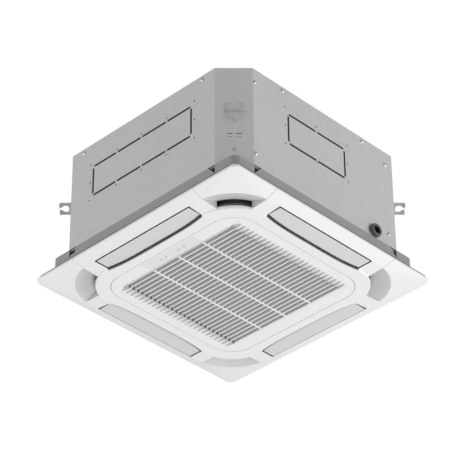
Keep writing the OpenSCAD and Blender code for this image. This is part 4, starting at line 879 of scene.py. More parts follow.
@dataclass
class Skin:
    """Grids of points gathered for one piece, then welded into one mesh.

    Attributes:
        points: Arrays of points, in metres.
        faces: Arrays of four point numbers each.
        count: Number of points so far.
    """

    points: list[np.ndarray] = field(default_factory=list)
    faces: list[np.ndarray] = field(default_factory=list)
    count: int = 0

    def grid(self, grid: np.ndarray, loop: bool = False, lift: bool = False,
             facing: Optional[Sequence[float]] = (0.0, 0.0, -1.0),
             keep: Optional[np.ndarray] = None) -> "Skin":
        """Adds a grid of points as quads.

        Args:
            grid: Points by row and column, in metres.
            loop: Whether the last column joins the first.
            lift: Whether the last row joins the first, as round a tube.
            facing: Direction that most of its faces look in; None keeps the grid's own order.
            keep: Which of the grid's quads to add; None adds all.

        Returns:
            This skin.
        """
        rows, cols = grid.shape[:2]
        index = np.arange(rows * cols).reshape(rows, cols)
        if loop:
            index = np.concatenate([index, index[:, :1]], axis=1)
        if lift:
            index = np.concatenate([index, index[:1]], axis=0)
        quads = np.stack([index[:-1, :-1], index[:-1, 1:], index[1:, 1:], index[1:, :-1]], -1)
        quads = quads.reshape(-1, 4)
        flat = grid.reshape(-1, 3)
        if facing is not None and float(outlook(flat, quads).sum(axis=0) @ np.array(facing)) < 0:
            quads = quads[:, ::-1]
        if keep is not None:
            quads = quads[keep.reshape(-1)]
        self.points.append(flat)
        self.faces.append(quads + self.count)
        self.count += len(flat)
        return self

    def tube(self, path: np.ndarray, profile: np.ndarray) -> "Skin":
        """Adds a closed solid: profile number j is carried to path number i, then both ends are capped.

        Args:
            path: Centre and two axes for each station, as an array of (stations, 3, 3).
            profile: Outline as pairs of lengths along the two axes.

        Returns:
            This skin.
        """
        grid = (path[:, None, 0] + profile[None, :, :1] * path[:, None, 1]
                + profile[None, :, 1:] * path[:, None, 2])
        ends = [np.repeat(g.mean(axis=0)[None], len(profile), axis=0) for g in (grid[0], grid[-1])]
        grid = np.concatenate([ends[0][None], grid, ends[1][None]])
        flat = grid.reshape(-1, 3)
        self.grid(grid, loop=True, facing=None)
        quads = self.faces[-1] - self.count + len(flat)
        outward = ((flat[quads].mean(axis=1) - flat.mean(axis=0)) * outlook(flat, quads)).sum()
        if outward < 0:
            self.faces[-1] = self.faces[-1][:, ::-1]
        return self

    def rod(self, start: np.ndarray, end: np.ndarray, radius: float, steps: int = 24) -> "Skin":
        """Adds a round rod between two points: a circle carried along the line.

        Args:
            start: Its first end, in metres.
            end: Its other end, in metres.
            radius: Its radius, in metres.
            steps: Points round it.

        Returns:
            This skin.
        """
        ahead = (end - start) / np.linalg.norm(end - start)
        # X is the helper axis, unless the rod runs nearly along it.
        side = np.cross(ahead, [1.0, 0.0, 0.0] if abs(ahead[0]) < 0.9 else [0.0, 1.0, 0.0])
        side /= np.linalg.norm(side)
        turn = np.linspace(0.0, 2 * math.pi, steps, endpoint=False)
        path = np.array([[point, side, np.cross(ahead, side)] for point in (start, end)])
        return self.tube(path, radius * np.stack([np.cos(turn), np.sin(turn)], -1))

    def block(self, low: np.ndarray, high: np.ndarray) -> "Skin":
        """Adds a box: a rectangle carried along z.

        Args:
            low: Its lowest corner, in metres.
            high: Its highest corner, in metres.

        Returns:
            This skin.
        """
        mid, half = (low + high) / 2, (high - low) / 2
        outline = np.array([[-1, -1], [1, -1], [1, 1], [-1, 1]]) * half[:2]
        path = np.array([[[mid[0], mid[1], z], [1, 0, 0], [0, 1, 0]] for z in (low[2], high[2])])
        return self.tube(path, outline)

    def build(self, name: str, wall: float = 0.0, bevel: float = 0.0, crisp: float = 7.0,
              bevel_over: float = 60.0) -> bpy.types.Object:
        """Welds the grids and makes the piece.

        Args:
            name: The piece's name.
            wall: Thickness given to the skin, away from where its faces look, in mm.
            bevel: Width of its rounded edges, in mm.
            crisp: Edges sharper than this many degrees keep their line.
            bevel_over: Edges sharper than this many degrees are rounded.

        Returns:
            The piece, at the origin.
        """
        points = np.concatenate(self.points)
        used, quads = np.unique(np.concatenate(self.faces), return_inverse=True)
        points, quads = points[used], quads.reshape(-1, 4)
        _, first, again = np.unique(np.round(points, WELD_DECIMALS), axis=0, return_index=True,
                                    return_inverse=True)
        points, quads = points[first], again.reshape(-1)[quads]
        polygons = []
        for quad in quads.tolist():
            ring = [p for i, p in enumerate(quad) if p != quad[i - 1]]
            if len(ring) >= 3 and len(set(ring)) == len(ring):
                polygons.append(ring)
        mesh = bpy.data.meshes.new(name)
        mesh.from_pydata(points.tolist(), [], polygons)
        mesh.update()
        obj = bpy.data.objects.new(name, mesh)
        bpy.context.scene.collection.objects.link(obj)
        finish_shell(obj, wall, bevel, crisp, bevel_over)
        LOG.info("%s: %d points, %d faces", name, len(obj.data.vertices), len(obj.data.polygons))
        return obj


def finish_shell(obj: bpy.types.Object, wall: float, bevel: float, crisp: float,
                 bevel_over: float) -> None:
    """Gives a skin its wall and rounded edges, then smooths its shading up to the crisp edges.

    Args:
        obj: The piece.
        wall: Thickness of the wall, in mm.
        bevel: Width of the rounded edges, in mm.
        crisp: Edges sharper than this many degrees keep their line.
        bevel_over: Edges sharper than this many degrees are rounded.
    """
    if wall:
        solid = obj.modifiers.new("wall", "SOLIDIFY")
        solid.thickness, solid.offset, solid.use_even_offset = wall * MM, -1.0, False
    if bevel:
        edge = obj.modifiers.new("edge", "BEVEL")
        edge.width, edge.segments, edge.limit_method = bevel * MM, EDGE_STEPS, "ANGLE"
        edge.angle_limit = math.radians(bevel_over)
        edge.use_clamp_overlap = True
    if obj.modifiers:
        shaped = bpy.data.meshes.new_from_object(
            obj.evaluated_get(bpy.context.evaluated_depsgraph_get()))
        shaped.name = obj.name
        obj.modifiers.clear()
        obj.data = shaped
    obj.data.shade_smooth()
    obj.data.set_sharp_from_angle(angle=math.radians(crisp))


@dataclass
class Panel:
    """The square panel: a raised ring round the grille, four outlets and the sloping margin.

    All sizes are in mm, and heights are above the face of the grille.

    Attributes:
        paint: Makes and applies the materials.
        open_half: Half the width of the opening for the grille.
        open_r: Corner radius of that opening.
        flat_half: Half the width of the ring's flat face.
        flat_r: Its corner radius.
        ring_half: Half the width of the ring at the foot of its bevel.
        ring_r: Its corner radius.
        ring_z: Height of the foot of the bevel.
        crease_half: Half the width of the crease outside the outlets.
        crease_r: Its corner radius.
        crease_z: Height of the crease.
        edge_z: Height of the panel's outer edge.
        edge_r: Corner radius of the panel's outline.
        back_z: Height of the panel's back.
        inner_top: Height where the walls of the outlets and of the opening end.
        outlet_end: Half the length of an outlet.
        outlet_in: Distance of an outlet's inner edge from the axis, in its middle.
        curl: How far that edge has moved outwards at its ends.
        lip_z: Height to which the ring's wall rises in the corners.
        seam_u: Where the corner covers' seams start on the crease.
        seam_spread: How far a seam runs outwards up to the panel's edge.
        under: Distance from the axis to which the back is closed behind the casing's wall.
        wall: Thickness of the moulding.
        bevel: Width of its rounded edges.
        soft: Width and height of the small chamfer at an outlet's inner edge.
        lining_gap: How far the outlets' lining stands off their walls.
        lining_t: Its thickness.
        lining_in_z: Height where it starts on the inner wall and at the ends.
        lining_out_z: Height where it starts on the outer wall.
        lining_top: Height where it ends.
        pin_low: Height up to which it runs below a vane's pins.
        pin_high: Height from which it runs on above them.
        lip_off: How far the grey strip of painted shade on the inner wall below it stands off.
        lip_t: Thickness of that strip.
        lip_end: How far it stops short of the outlet's ends.
        lip_low: Height where it starts.
        slot_depth: How far the wall behind a corner slot lies inside the ring's outline.
        slot_t: Thickness of that wall.
        slot_low: Height of its foot.
        slot_high: Height of its top.
        slot_turn: Degrees between a side's normal and that wall's end.
        seat_in: How far the seats behind the corner covers lie inside the panel's outline.
        seat_r: Their inner corner radius.
        seat_t: Their thickness.
        edge_points: Points along an outlet's curled edge.
        wall_points: Points along an outlet's outer wall, and along a corner slot's wall.
        seam_points: Points from an outlet's end to the seam.
        end_points: Points along the wall at an outlet's end.
        seat_points: Points round a seat's corner.
        arc_points: Points round the ring's corner.
    """

    paint: Paint
    open_half: float = 208.7
    open_r: float = 60.2
    flat_half: float = 241.8
    flat_r: float = 94.8
    ring_half: float = 243.0
    ring_r: float = 96.0
    ring_z: float = 3.5
    crease_half: float = 281.0
    crease_r: float = 117.0
    crease_z: float = 6.0
    edge_z: float = 14.5
    edge_r: float = 15.0
    back_z: float = 20.5
    inner_top: float = 20.0
    outlet_end: float = 145.0
    outlet_in: float = 231.5
    curl: float = 8.0
    lip_z: float = 7.2
    seam_u: float = 183.0
    seam_spread: float = 3.0
    under: float = 283.0
    wall: float = 1.8
    bevel: float = 0.6
    soft: float = 0.9
    lining_gap: float = 0.25
    lining_t: float = 0.1
    lining_in_z: float = 4.2
    lining_out_z: float = 6.2
    lining_top: float = 71.2
    pin_low: float = 9.0
    pin_high: float = 15.0
    lip_off: float = 0.12
    lip_t: float = 0.08
    lip_end: float = 0.3
    lip_low: float = 0.7
    slot_depth: float = 11.0
    slot_t: float = 1.0
    slot_low: float = 5.0
    slot_high: float = 21.0
    slot_turn: float = 14.0
    seat_in: float = 6.2
    seat_r: float = 20.0
    seat_t: float = 4.0
    edge_points: int = 49
    wall_points: int = 25
    seam_points: int = 9
    end_points: int = 7
    seat_points: int = 13
    arc_points: int = 29

    def outlet_edge(self, u: np.ndarray) -> np.ndarray:
        """Inner edge of an outlet: its place in the middle plus the curl times (u / end) to the fourth."""
        return self.outlet_in + self.curl * (np.abs(u) / self.outlet_end) ** 4

    def ring_side(self, k: int) -> np.ndarray:
        """Grid of the ring along side k and round the corner after it.

        Each column is the profile of the ring at one place of its outline: up the opening's wall, over
        the flat face, down the bevel and up the outer wall. Within an outlet the flat face stops at
        the outlet's curled edge, and the outer wall runs up to the back.

        Args:
            k: The side.

        Returns:
            The grid, five rows by as many columns.
        """
        inside = np.linspace(-self.outlet_end, self.outlet_end, self.edge_points)
        vent = np.pad(np.ones(len(inside), bool), 2)

        def along(half: float, r: float) -> np.ndarray:
            """Places along the side up to where that outline's corner arc begins."""
            return np.r_[r - half, -self.outlet_end, inside, self.outlet_end, half - r]
        open_u, flat_u = along(self.open_half, self.open_r), along(self.flat_half, self.flat_r)
        ring_u = along(self.ring_half, self.ring_r)
        flat = np.where(vent, self.outlet_edge(flat_u) - self.soft, self.flat_half)
        foot = np.where(vent, self.outlet_edge(ring_u), self.ring_half)
        straight = ruled([(open_u, self.open_half, self.inner_top), (open_u, self.open_half, 0.0),
                          (flat_u, flat, 0.0), (ring_u, foot, np.where(vent, self.soft, self.ring_z)),
                          (ring_u, foot, np.where(vent, self.inner_top, self.lip_z))], k)
        turn = np.linspace(0.0, math.pi / 2, self.arc_points)
        corner = [(self.open_half, self.open_r, self.inner_top), (self.open_half, self.open_r, 0.0),
                  (self.flat_half, self.flat_r, 0.0), (self.ring_half, self.ring_r, self.ring_z),
                  (self.ring_half, self.ring_r, self.lip_z)]
        bend = ruled([(*arc_point(half - r, r, turn), z) for half, r, z in corner], k)
        return np.concatenate([straight, bend], axis=1)

    def margin_side(self, k: int) -> np.ndarray:
        """Grid of the outlet band's ends, the sloping margin, the edge and the back along side k.

        Rows run from the band's inner edge over the crease and down the margin to the panel's edge, up
        that edge and back in behind it. Within the outlet the first rows are the outlet's outer wall.

        Args:
            k: The side.

        Returns:
            The grid, six rows by as many columns.
        """
        inside = np.linspace(-self.outlet_end, self.outlet_end, self.wall_points)
        beyond = np.linspace(self.outlet_end, self.seam_u, self.seam_points)
        u = np.concatenate([-beyond[::-1], inside, beyond])
        vent = np.pad(np.ones(len(inside), bool), len(beyond))
        crease = contour_r(self.crease_half, self.crease_r, u)
        near = np.where(vent, crease, contour_r(self.ring_half, self.ring_r, u))
        over = np.maximum(np.abs(u) - self.outlet_end, 0.0) / (self.seam_u - self.outlet_end)
        far = u + np.sign(u) * over * self.seam_spread
        return ruled([(u, near, self.inner_top), (u, near, np.where(vent, self.inner_top, self.ring_z)),
                      (u, crease, self.crease_z), (far, PANEL_HALF, self.edge_z),
                      (far, PANEL_HALF, self.back_z), (far, self.under, self.back_z)], k)

    def lining(self, skin: Skin, k: int) -> None:
        """Adds the dark foam on the four walls of outlet k, a set of upright bands; it also stands for the
        painted shade deep in the outlet.

        Args:
            skin: Where the bands go.
            k: The side.
        """
        end = self.outlet_end - self.lining_gap
        u = np.linspace(-end, end, self.edge_points)
        inner = self.outlet_edge(u) + self.lining_gap
        outer = self.crease_half - self.lining_gap
        skin.grid(upright(u, inner, self.lining_in_z, self.lining_top, k), facing=direction(0, 1, k))
        skin.grid(upright(u, outer, self.lining_out_z, self.lining_top, k), facing=direction(0, -1, k))
        r = np.linspace(float(inner[0]), outer, self.end_points)
        for s in (-1, 1):
            for low, high in ((self.lining_in_z, self.pin_low), (self.pin_high, self.lining_top)):
                skin.grid(upright(s * end, r, low, high, k), facing=direction(-s, 0, k))

    def lip(self, k: int) -> np.ndarray:
        """Grid of the grey strip of painted shade between the ring's face and the foam, upright over outlet
        k's curled edge: the white wall there, drawn grey where it lies in shade.
        """
        u = np.linspace(-1.0, 1.0, self.edge_points) * (self.outlet_end - self.lip_end)
        return upright(u, self.outlet_edge(u) + self.lip_off, self.lip_low, self.lining_in_z, k)

    def slot_wall(self, k: int) -> np.ndarray:
        """Grid of the wall behind the slot in the corner after side k, upright over an arc about the corner;
        its dark grey finish is painted shade inside the slot.

        Args:
            k: The side.

        Returns:
            The grid, two rows.
        """
        turn = np.radians(np.linspace(self.slot_turn, 90.0 - self.slot_turn, self.wall_points))
        u, r = arc_point(self.ring_half - self.ring_r, self.ring_r - self.slot_depth, turn)
        return upright(u, r, self.slot_low, self.slot_high, k)

    def corner_seat(self, k: int) -> np.ndarray:
        """Grid of the flat plate behind the cover in the corner after side k.

        Its rows follow two outlines, each a straight piece, a corner arc and a straight piece, first at
        the plate's top and then at its underside.

        Args:
            k: The side.

        Returns:
            The grid, four rows round the plate's section.
        """
        def outline(half: float, radius: float) -> tuple[np.ndarray, np.ndarray]:
            """Corner arc of a rounded square, with a point where the seams start at each end.

            Args:
                half: Half its width.
                radius: Its corner radius.

            Returns:
                Its points' places along the side and outwards.
            """
            turn = np.linspace(0.0, math.pi / 2, self.seat_points)
            u, r = arc_point(half - radius, radius, turn)
            return np.r_[self.seam_u, u, half], np.r_[half, r, self.seam_u]
        outer = outline(PANEL_HALF - self.seat_in, self.edge_r)
        inner = outline(self.under, self.seat_r)
        low = self.back_z - self.seat_t
        return ruled([(*inner, self.back_z), (*outer, self.back_z), (*outer, low), (*inner, low)], k)

    def build(self) -> None:
        """Makes the moulding, and the dark and grey parts in its openings, which carry painted shade."""
        ring = Skin().grid(np.concatenate([self.ring_side(k) for k in range(4)], axis=1), loop=True)
        margin, seats, foam, lips, walls = (Skin() for _ in range(5))
        for k in range(4):
            margin.grid(self.margin_side(k))
            seats.grid(self.corner_seat(k), lift=True, facing=(0.0, 0.0, 1.0))
            self.lining(foam, k)
            lips.grid(self.lip(k), facing=direction(0, 1, k))
            walls.grid(self.slot_wall(k), facing=direction(1, 1, k))
        for obj in (ring.build("panel_ring", self.wall, self.bevel),
                    margin.build("panel_margin", self.wall, self.bevel),
                    seats.build("panel_corner_seats")):
            self.paint.dress(obj, Coats.WHITE, "unit", "panel_frame")
        # Near-black foam in the outlets, placed and darkened as the painted shade deep in them.
        self.paint.dress(foam.build("outlet_lining", self.lining_t), Coats.DARK_FOAM_AND_SHADE, "unit")
        # Grey strips on the outlets' inner walls: painted shade.
        self.paint.dress(lips.build("outlet_lip_shade", self.lip_t), Coats.LIP_SHADE, "unit")
        # Dark grey walls behind the corner slots: painted shade inside them.
        self.paint.dress(walls.build("corner_slot_walls", self.slot_t), Coats.SLOT_SHADE, "unit")


@dataclass
class CornerCover:
    """One of the four covers: the margin's corner and a recess that slants up over the ring.

    All sizes are in mm, and heights are above the face of the grille.

    Attributes:
        paint: Makes and applies the materials.
        panel: The panel, whose outlines it continues.
        k: The side before its corner.
        recess_z: Height of the recess above the ring's outline.
        seat_z: Height of the cover's back.
        rim_w: Width of its upright rim.
        seam: Gap at the seams.
        wall: Thickness of the cover.
        bevel: Width of its rounded edges.
        recess_t: Thickness of the recess.
        crisp: Edges of the recess sharper than this many degrees keep their line.
        steps: Points along an arc.
        fan: Points along a straight piece of an outline.
    """

    paint: Paint
    panel: Panel
    k: int
    recess_z: float = 23.0
    seat_z: float = 16.3
    rim_w: float = 6.0
    seam: float = 0.6
    wall: float = 1.8
    bevel: float = 0.5
    recess_t: float = 1.2
    crisp: float = 25.0
    steps: int = 37
    fan: int = 7

    @property
    def first(self) -> float:
        """Distance of the cover's first edge from the unit's middle plane."""
        return self.panel.seam_u + self.seam

    def arc(self, half: float, r: float) -> tuple[np.ndarray, np.ndarray]:
        """Part of a rounded square's corner arc that lies between the cover's two edges."""
        start = math.asin((self.first - half + r) / r)
        return arc_point(half - r, r, np.linspace(start, math.pi / 2 - start, self.steps))

    def margin(self) -> np.ndarray:
        """Grid from the crease's arc to the panel's outline, up the edge and in behind the rim.

        Each column joins one point of the arc with the point of the same number on the outline.

        Returns:
            The grid, five rows.
        """
        panel, fan = self.panel, self.fan
        crease = [np.pad(line, fan, mode="edge") for line in self.arc(panel.crease_half, panel.crease_r)]

        def outline(half: float, r: float) -> tuple[np.ndarray, np.ndarray]:
            """Outline with one point for each of the crease's points.

            Args:
                half: Half its width.
                r: Its corner radius.

            Returns:
                Its points' places along the side and outwards.
            """
            bend_u, bend_r = arc_point(half - r, r, np.linspace(0.0, math.pi / 2, self.steps))
            lead = np.linspace(self.first + panel.seam_spread, half - r, fan)
            return np.r_[lead, bend_u, np.full(fan, half)], np.r_[np.full(fan, half), bend_r, lead[::-1]]
        edge = outline(PANEL_HALF, panel.edge_r)
        rim = outline(PANEL_HALF - self.rim_w, panel.edge_r)
        return ruled([(*crease, panel.crease_z), (*edge, panel.edge_z), (*edge, panel.back_z),
                      (*rim, panel.back_z), (*rim, self.seat_z)], self.k)

    def recess(self, rows: int = 7) -> np.ndarray:
        """Grid of the recess: straight lines from the crease's arc up to above the ring's outline.

        At both ends a triangle in the seam's plane closes it down to the foot of the ring.

        Args:
            rows: Points along each line.

        Returns:
            The grid.
        """
        panel = self.panel
        crease, ring = self.arc(panel.crease_half, panel.crease_r), self.arc(panel.ring_half, panel.ring_r)
        low_u, low_r = (np.r_[end[0], line, end[-1]] for line, end in zip(crease, ring))
        top_u, top_r = (np.pad(line, 1, mode="edge") for line in ring)
        low_z = np.r_[panel.ring_z, np.full(self.steps, panel.crease_z), panel.ring_z]
        low = on_side(low_u, low_r, low_z, self.k)
        top = on_side(top_u, top_r, self.recess_z, self.k)
        share = np.linspace(0.0, 1.0, rows)[:, None, None]
        return low * (1 - share) + top * share

    def build(self) -> None:
        """Makes the cover's two shells; the recess is drawn darker as painted shade."""
        number = self.k + 1
        edge = Skin().grid(self.margin()).build(f"cover_{number}", self.wall, self.bevel)
        hollow = Skin().grid(self.recess()).build(f"cover_recess_{number}", self.recess_t, crisp=self.crisp)
        for obj, coat in ((edge, Coats.WHITE), (hollow, Coats.RECESS_SHADE)):
            self.paint.dress(obj, coat, "unit", f"corner_cover_{number}")


@dataclass
class VaneGapShade:
    """Painted shade round the edges of the four vanes: dark bands and a strip for the shade in the gaps;
    each turns with its vane.

    All sizes are in mm, and heights are above the face of the grille.

    Attributes:
        paint: Makes and applies the materials.
        panel: The panel, whose outlets' curl the vanes share.
        out: Distance of a vane's outer edge from the unit's axis.
        inner: Distance of its inner edge in the middle.
        end: Half its length.
        stand: How far the dark band stands out.
        low: Height where it starts, just above the vane's face.
        high: Height where it ends.
        strip_z: Height of the painted-shade strip's face, just under the vane's.
        strip_in: How far that strip stays inside the vane's edge.
        strip_w: Distance from the vane's inner edge to the strip's far side.
        thick: Thickness of band and strip.
        steps: Points along the vane.
    """

    paint: Paint
    panel: Panel
    out: float = 278.5
    inner: float = 234.5
    end: float = 142.0
    stand: float = 0.3
    low: float = 5.35
    high: float = 7.3
    strip_z: float = 4.92
    strip_in: float = 0.5
    strip_w: float = 3.2
    thick: float = 0.25
    steps: int = 61

    def inner_edge(self, u: np.ndarray, end: float) -> np.ndarray:
        """Inner edge of a vane: its place in the middle plus the curl times (u / end) to the fourth."""
        return self.inner + self.panel.curl * (np.abs(u) / end) ** 4

    def band(self, k: int) -> np.ndarray:
        """Grid of the dark band of painted shade round vane k: its outline moved outwards, between two
        heights.

        Args:
            k: The side.

        Returns:
            The grid, two rows round the vane.
        """
        end = self.end + self.stand
        u = np.linspace(-end, end, self.steps)
        back = self.inner_edge(u[::-1], end) - self.stand
        outline = np.r_[np.full(self.steps, self.out + self.stand), back]
        return upright(np.r_[u, u[::-1]], outline, self.low, self.high, k)

    def strip(self, k: int) -> np.ndarray:
        """Grid of the dark strip of painted shade on vane k's face: its inner edge moved outwards by two
        distances.

        Args:
            k: The side.

        Returns:
            The grid, two rows.
        """
        u = np.linspace(-1.0, 1.0, self.steps) * (self.end - self.strip_in)
        edge = self.inner_edge(u, self.end)
        return ruled([(u, edge + r, self.strip_z) for r in (self.strip_in, self.strip_w)], k)

    def build(self) -> None:
        """Makes the four dark bands and strips of painted shade."""
        for k in range(4):
            # Painted shade: near-black bands and strips for the shade in the gaps round each vane.
            vane_shade = Skin().grid(self.band(k), loop=True, facing=None).grid(self.strip(k))
            self.paint.dress(vane_shade.build(f"vane_seal_{k + 1}", self.thick), Coats.DARK_FOAM_AND_SHADE, f"vane_{k + 1}")


@dataclass
class KnockOuts:
    """Foam showing in the punched lines of the duct knock-outs, level with the sheet. All sizes in mm.

    Attributes:
        paint: Makes and applies the materials.
        rise: Height of the lower line above the casing's lower edge.
        height: Distance between the lower and the upper line.
        line: Width of a line.
        bridge: Width of a bridge of sheet that interrupts the lines.
        deep: How deep the foam lies in the sheet.
        proud: How far it stands out of it.
        plans: Side, first and last place along it, and the shares where bridges are.
    """

    paint: Paint
    rise: float = 113.0
    height: float = 79.0
    line: float = 5.2
    bridge: float = 5.4
    deep: float = 0.9
    proud: float = 0.05
    plans: tuple[tuple[int, float, float, tuple[float, ...]], ...] = (
        (0, -117.0, 64.0, (0.5,)), (3, -155.0, 155.0, (0.245, 0.5, 0.755)))

    def strip(self, skin: Skin, k: int, u: Span, z: Span) -> None:
        """Adds one strip of foam.

        Args:
            skin: Where it goes.
            k: The side.
            u: Its first and last place along the side.
            z: Its lowest and highest point.
        """
        sheet = -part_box("side_plate_drain")[0][1] / MM
        ends = ruled([(u[0], sheet - self.deep, z[0]), (u[1], sheet + self.proud, z[1])], k)
        skin.block(ends.min(axis=0), ends.max(axis=0))

    def build(self) -> None:
        """Makes the foam strips of both knock-outs."""
        skin = Skin()
        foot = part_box("side_plate_duct")[0][2] / MM - FACE + self.rise
        half_line, half_gap = self.line / 2, self.bridge / 2
        for k, first, last, shares in self.plans:
            stops = [first + (last - first) * share for share in (0.0, *shares, 1.0)]
            for z in (foot, foot + self.height):
                for a, b in zip(stops, stops[1:]):
                    self.strip(skin, k, (a + half_gap, b - half_gap), (z - half_line, z + half_line))
            for u in (first, last):
                self.strip(skin, k, (u - half_line, u + half_line),
                           (foot + self.bridge, foot + self.height - self.bridge))
        self.paint.dress(skin.build("knockout_foam"), Coats.DARK_FOAM_AND_SHADE, "unit")


@dataclass
class DrainSocket:
    """The thick rubber socket for the drain pipe: one profile turned about its axis. Sizes in mm.

    Attributes:
        paint: Makes and applies the materials.
        steps: Points round the axis.
        crisp: Edges sharper than this many degrees keep their line.
        profile: Radius and distance from the casing's face, from the bore's inner end round to the base.
        shade: The same for the thin dark sheet in the bore, painted shade.
    """

    paint: Paint
    steps: int = 64
    crisp: float = 40.0
    profile: tuple[Span, ...] = (
        (10.0, -14.0), (10.0, 8.4), (10.8, 9.6), (13.6, 9.6), (14.4, 9.3), (15.6, 7.6), (16.0, 6.6),
        (16.0, 0.05), (10.4, 0.05), (10.4, -14.0))
    shade: tuple[Span, ...] = ((9.9, 6.6), (9.9, -13.0), (9.7, -13.0), (9.7, 6.6))

    def lathe(self, profile: Sequence[Span]) -> Skin:
        """Skin of a profile turned about the socket's axis: rows along it, columns round it.

        Args:
            profile: Radius and distance from the casing's face, for each point.

        Returns:
            The skin.
        """
        low, high = (np.array(c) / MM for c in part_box("drain_socket"))
        x, z = (low[0] + high[0]) / 2, (low[2] + high[2]) / 2 - FACE
        sheet = -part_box("side_plate_drain")[0][1] / MM
        turn = np.linspace(0.0, 2 * math.pi, self.steps, endpoint=False)
        r, d = np.array(profile)[:, :1], np.array(profile)[:, 1:]
        grid = on_side(x + r * np.cos(turn), sheet + d, z + r * np.sin(turn))
        return Skin().grid(grid, loop=True, lift=True, facing=None)

    def build(self) -> None:
        """Makes the socket and the painted shade in its bore, a thin dark sheet."""
        socket = self.lathe(self.profile).build("drain_socket_rubber", crisp=self.crisp)
        self.paint.dress(socket, Coats.SOCKET, "unit", "drain_socket")
        # Painted shade: a near-black sheet inside the bore.
        self.paint.dress(self.lathe(self.shade).build("drain_bore_shade"), Coats.DARK_FOAM_AND_SHADE, "unit")


@dataclass
class Grille:
    """The intake grille: a thin plate with leaning slats, cross-bars, ribs, hinge ears and strikes.

    All sizes are in mm, and heights are above the plate's face.

    Attributes:
        paint: Makes and applies the materials.
        half: Half its width.
        corner: Its corner radius.
        wall: Thickness of the plate.
        bevel: Width of the plate's rounded edges.
        sink: Height of the plate's face above the lamps' faces.
        slots: Number of slots.
        pitch: Distance between two slots.
        gap: Width of a slot.
        length: Half the slots' length.
        dip: How far the plate is sunk beside the first and the last slot.
        dip_w: Width over which it sinks.
        groove: How far a finger groove runs past the slots.
        groove_d: Its depth at the slot's end.
        groove_t: Thickness of its wall.
        groove_taper: Share of its width that is lost at its far end.
        groove_out: How far its sides reach past the slot's edges.
        groove_soft: Width over which its sides rise.
        groove_edge: Depth from which its floor takes the darker finish of painted shade.
        groove_top: How far its first row stays below the slats' top.
        open_rows: Rows of quads of the grooves at +Y that are painted near-black as the shade in the slots'
            ends.
        stop_t: Thickness of those walls of painted shade.
        depth: Height of the slats.
        lip_r: Radius of the rounded lower edges of the slats.
        slat_in: How far an upright lies inside its lip.
        lean: Sideways lean of a slat for each mm of height.
        nose: How far its curved side has moved towards -X at its top.
        tail: How far the slats run past the slots' ends.
        crisp: Edges of slats and grooves sharper than this many degrees keep their line.
        bars: Distance between two cross-bars.
        bar_w: Width of a cross-bar.
        bar_low: Height of its lower face.
        bar_top: Height of its upper face.
        bar_out: How far the cross-bars run past the first and the last slot.
        rail_out: How much further the rails over the slats' ends run.
        rail_w: Width of a rail.
        rail_low: Height of its lower face.
        rail_top: Height of its upper face.
        rib_in: How far the ribs lie inside the plate's edge.
        rib_t: Thickness of a rib.
        rib_low: Height of the ribs' foot inside the plate, also of the ears and the strikes.
        rib_top: Height of the ribs.
        rib_span: Half the length of a rib.
        rib_bevel: Width of the rounded edges of all parts behind the plate.
        hinge_x: Distance of the hinge pins from the middle.
        hinge_y: Distance of a hinge from the middle.
        hinge_z: Height of the pins.
        ear_r: Radius of an ear.
        ear_w: Width of an ear.
        pin_r: Radius of a hinge pin.
        pin_l: Length of a hinge pin.
        strike_x: Distance of the catches' strikes from the middle.
        strike_y: Distance of a strike from the middle, along Y.
        strike_top: Height of a strike.
        strike_r: Radius of a strike.
        window_sink: Height of the display strip's face above the lamps' faces.
        window_bevel_over: Edges of the strip sharper than this many degrees are rounded.
        lenses: Place and radius of each signal lamp.
        lens_back: Height where the lamps end.
        arc_points: Points round the plate's corner.
        side_points: Points along its straight side.
        dip_points: Rows over which the plate sinks.
        wave_points: Points across the slotted field, in the grooves' grid.
        run_points: Points along a groove.
        lip_points: Points round a lip's edge.
        nose_points: Points up a slat's curved side.
        lens_points: Points round a signal lamp.
    """

    paint: Paint
    half: float = 207.5
    corner: float = 59.0
    wall: float = 1.4
    bevel: float = 0.4
    sink: float = 0.18
    slots: int = 26
    pitch: float = 13.1
    gap: float = 10.0
    length: float = 159.0
    dip: float = 2.2
    dip_w: float = 14.0
    groove: float = 25.0
    groove_d: float = 4.2
    groove_t: float = 0.6
    groove_taper: float = 0.4
    groove_out: float = 0.4
    groove_soft: float = 1.2
    groove_edge: float = 0.2
    groove_top: float = 0.2
    open_rows: int = 3
    stop_t: float = 0.3
    depth: float = 8.0
    lip_r: float = 1.1
    slat_in: float = 0.1
    lean: float = -0.05
    nose: float = 4.2
    tail: float = 1.5
    crisp: float = 35.0
    bars: float = 76.0
    bar_w: float = 4.0
    bar_low: float = 0.55
    bar_top: float = 7.95
    bar_out: float = 2.0
    rail_out: float = 2.5
    rail_w: float = 3.0
    rail_low: float = 7.0
    rail_top: float = 7.9
    rib_in: float = 2.0
    rib_t: float = 2.4
    rib_low: float = 1.0
    rib_top: float = 9.0
    rib_span: float = 148.0
    rib_bevel: float = 0.3
    hinge_x: float = 189.5
    hinge_y: float = 106.0
    hinge_z: float = 5.32
    ear_r: float = 3.0
    ear_w: float = 8.0
    pin_r: float = 1.5
    pin_l: float = 19.0
    strike_x: float = 202.1
    strike_y: float = 115.0
    strike_top: float = 12.0
    strike_r: float = 4.5
    window_sink: float = 0.08
    window_bevel_over: float = 30.0
    lenses: tuple[tuple[float, float, float], ...] = (
        (-188.4, -20.4, 3.6), (-189.0, -37.1, 3.6), (-187.6, 32.8, 2.6), (-188.2, 18.4, 2.6))
    lens_back: float = 0.4
    arc_points: int = 25
    side_points: int = 41
    dip_points: int = 6
    wave_points: int = 411
    run_points: int = 11
    lip_points: int = 4
    nose_points: int = 6
    lens_points: int = 32

    @property
    def field_half(self) -> float:
        """Half the width of the slotted field."""
        return ((self.slots - 1) * self.pitch + self.gap) / 2

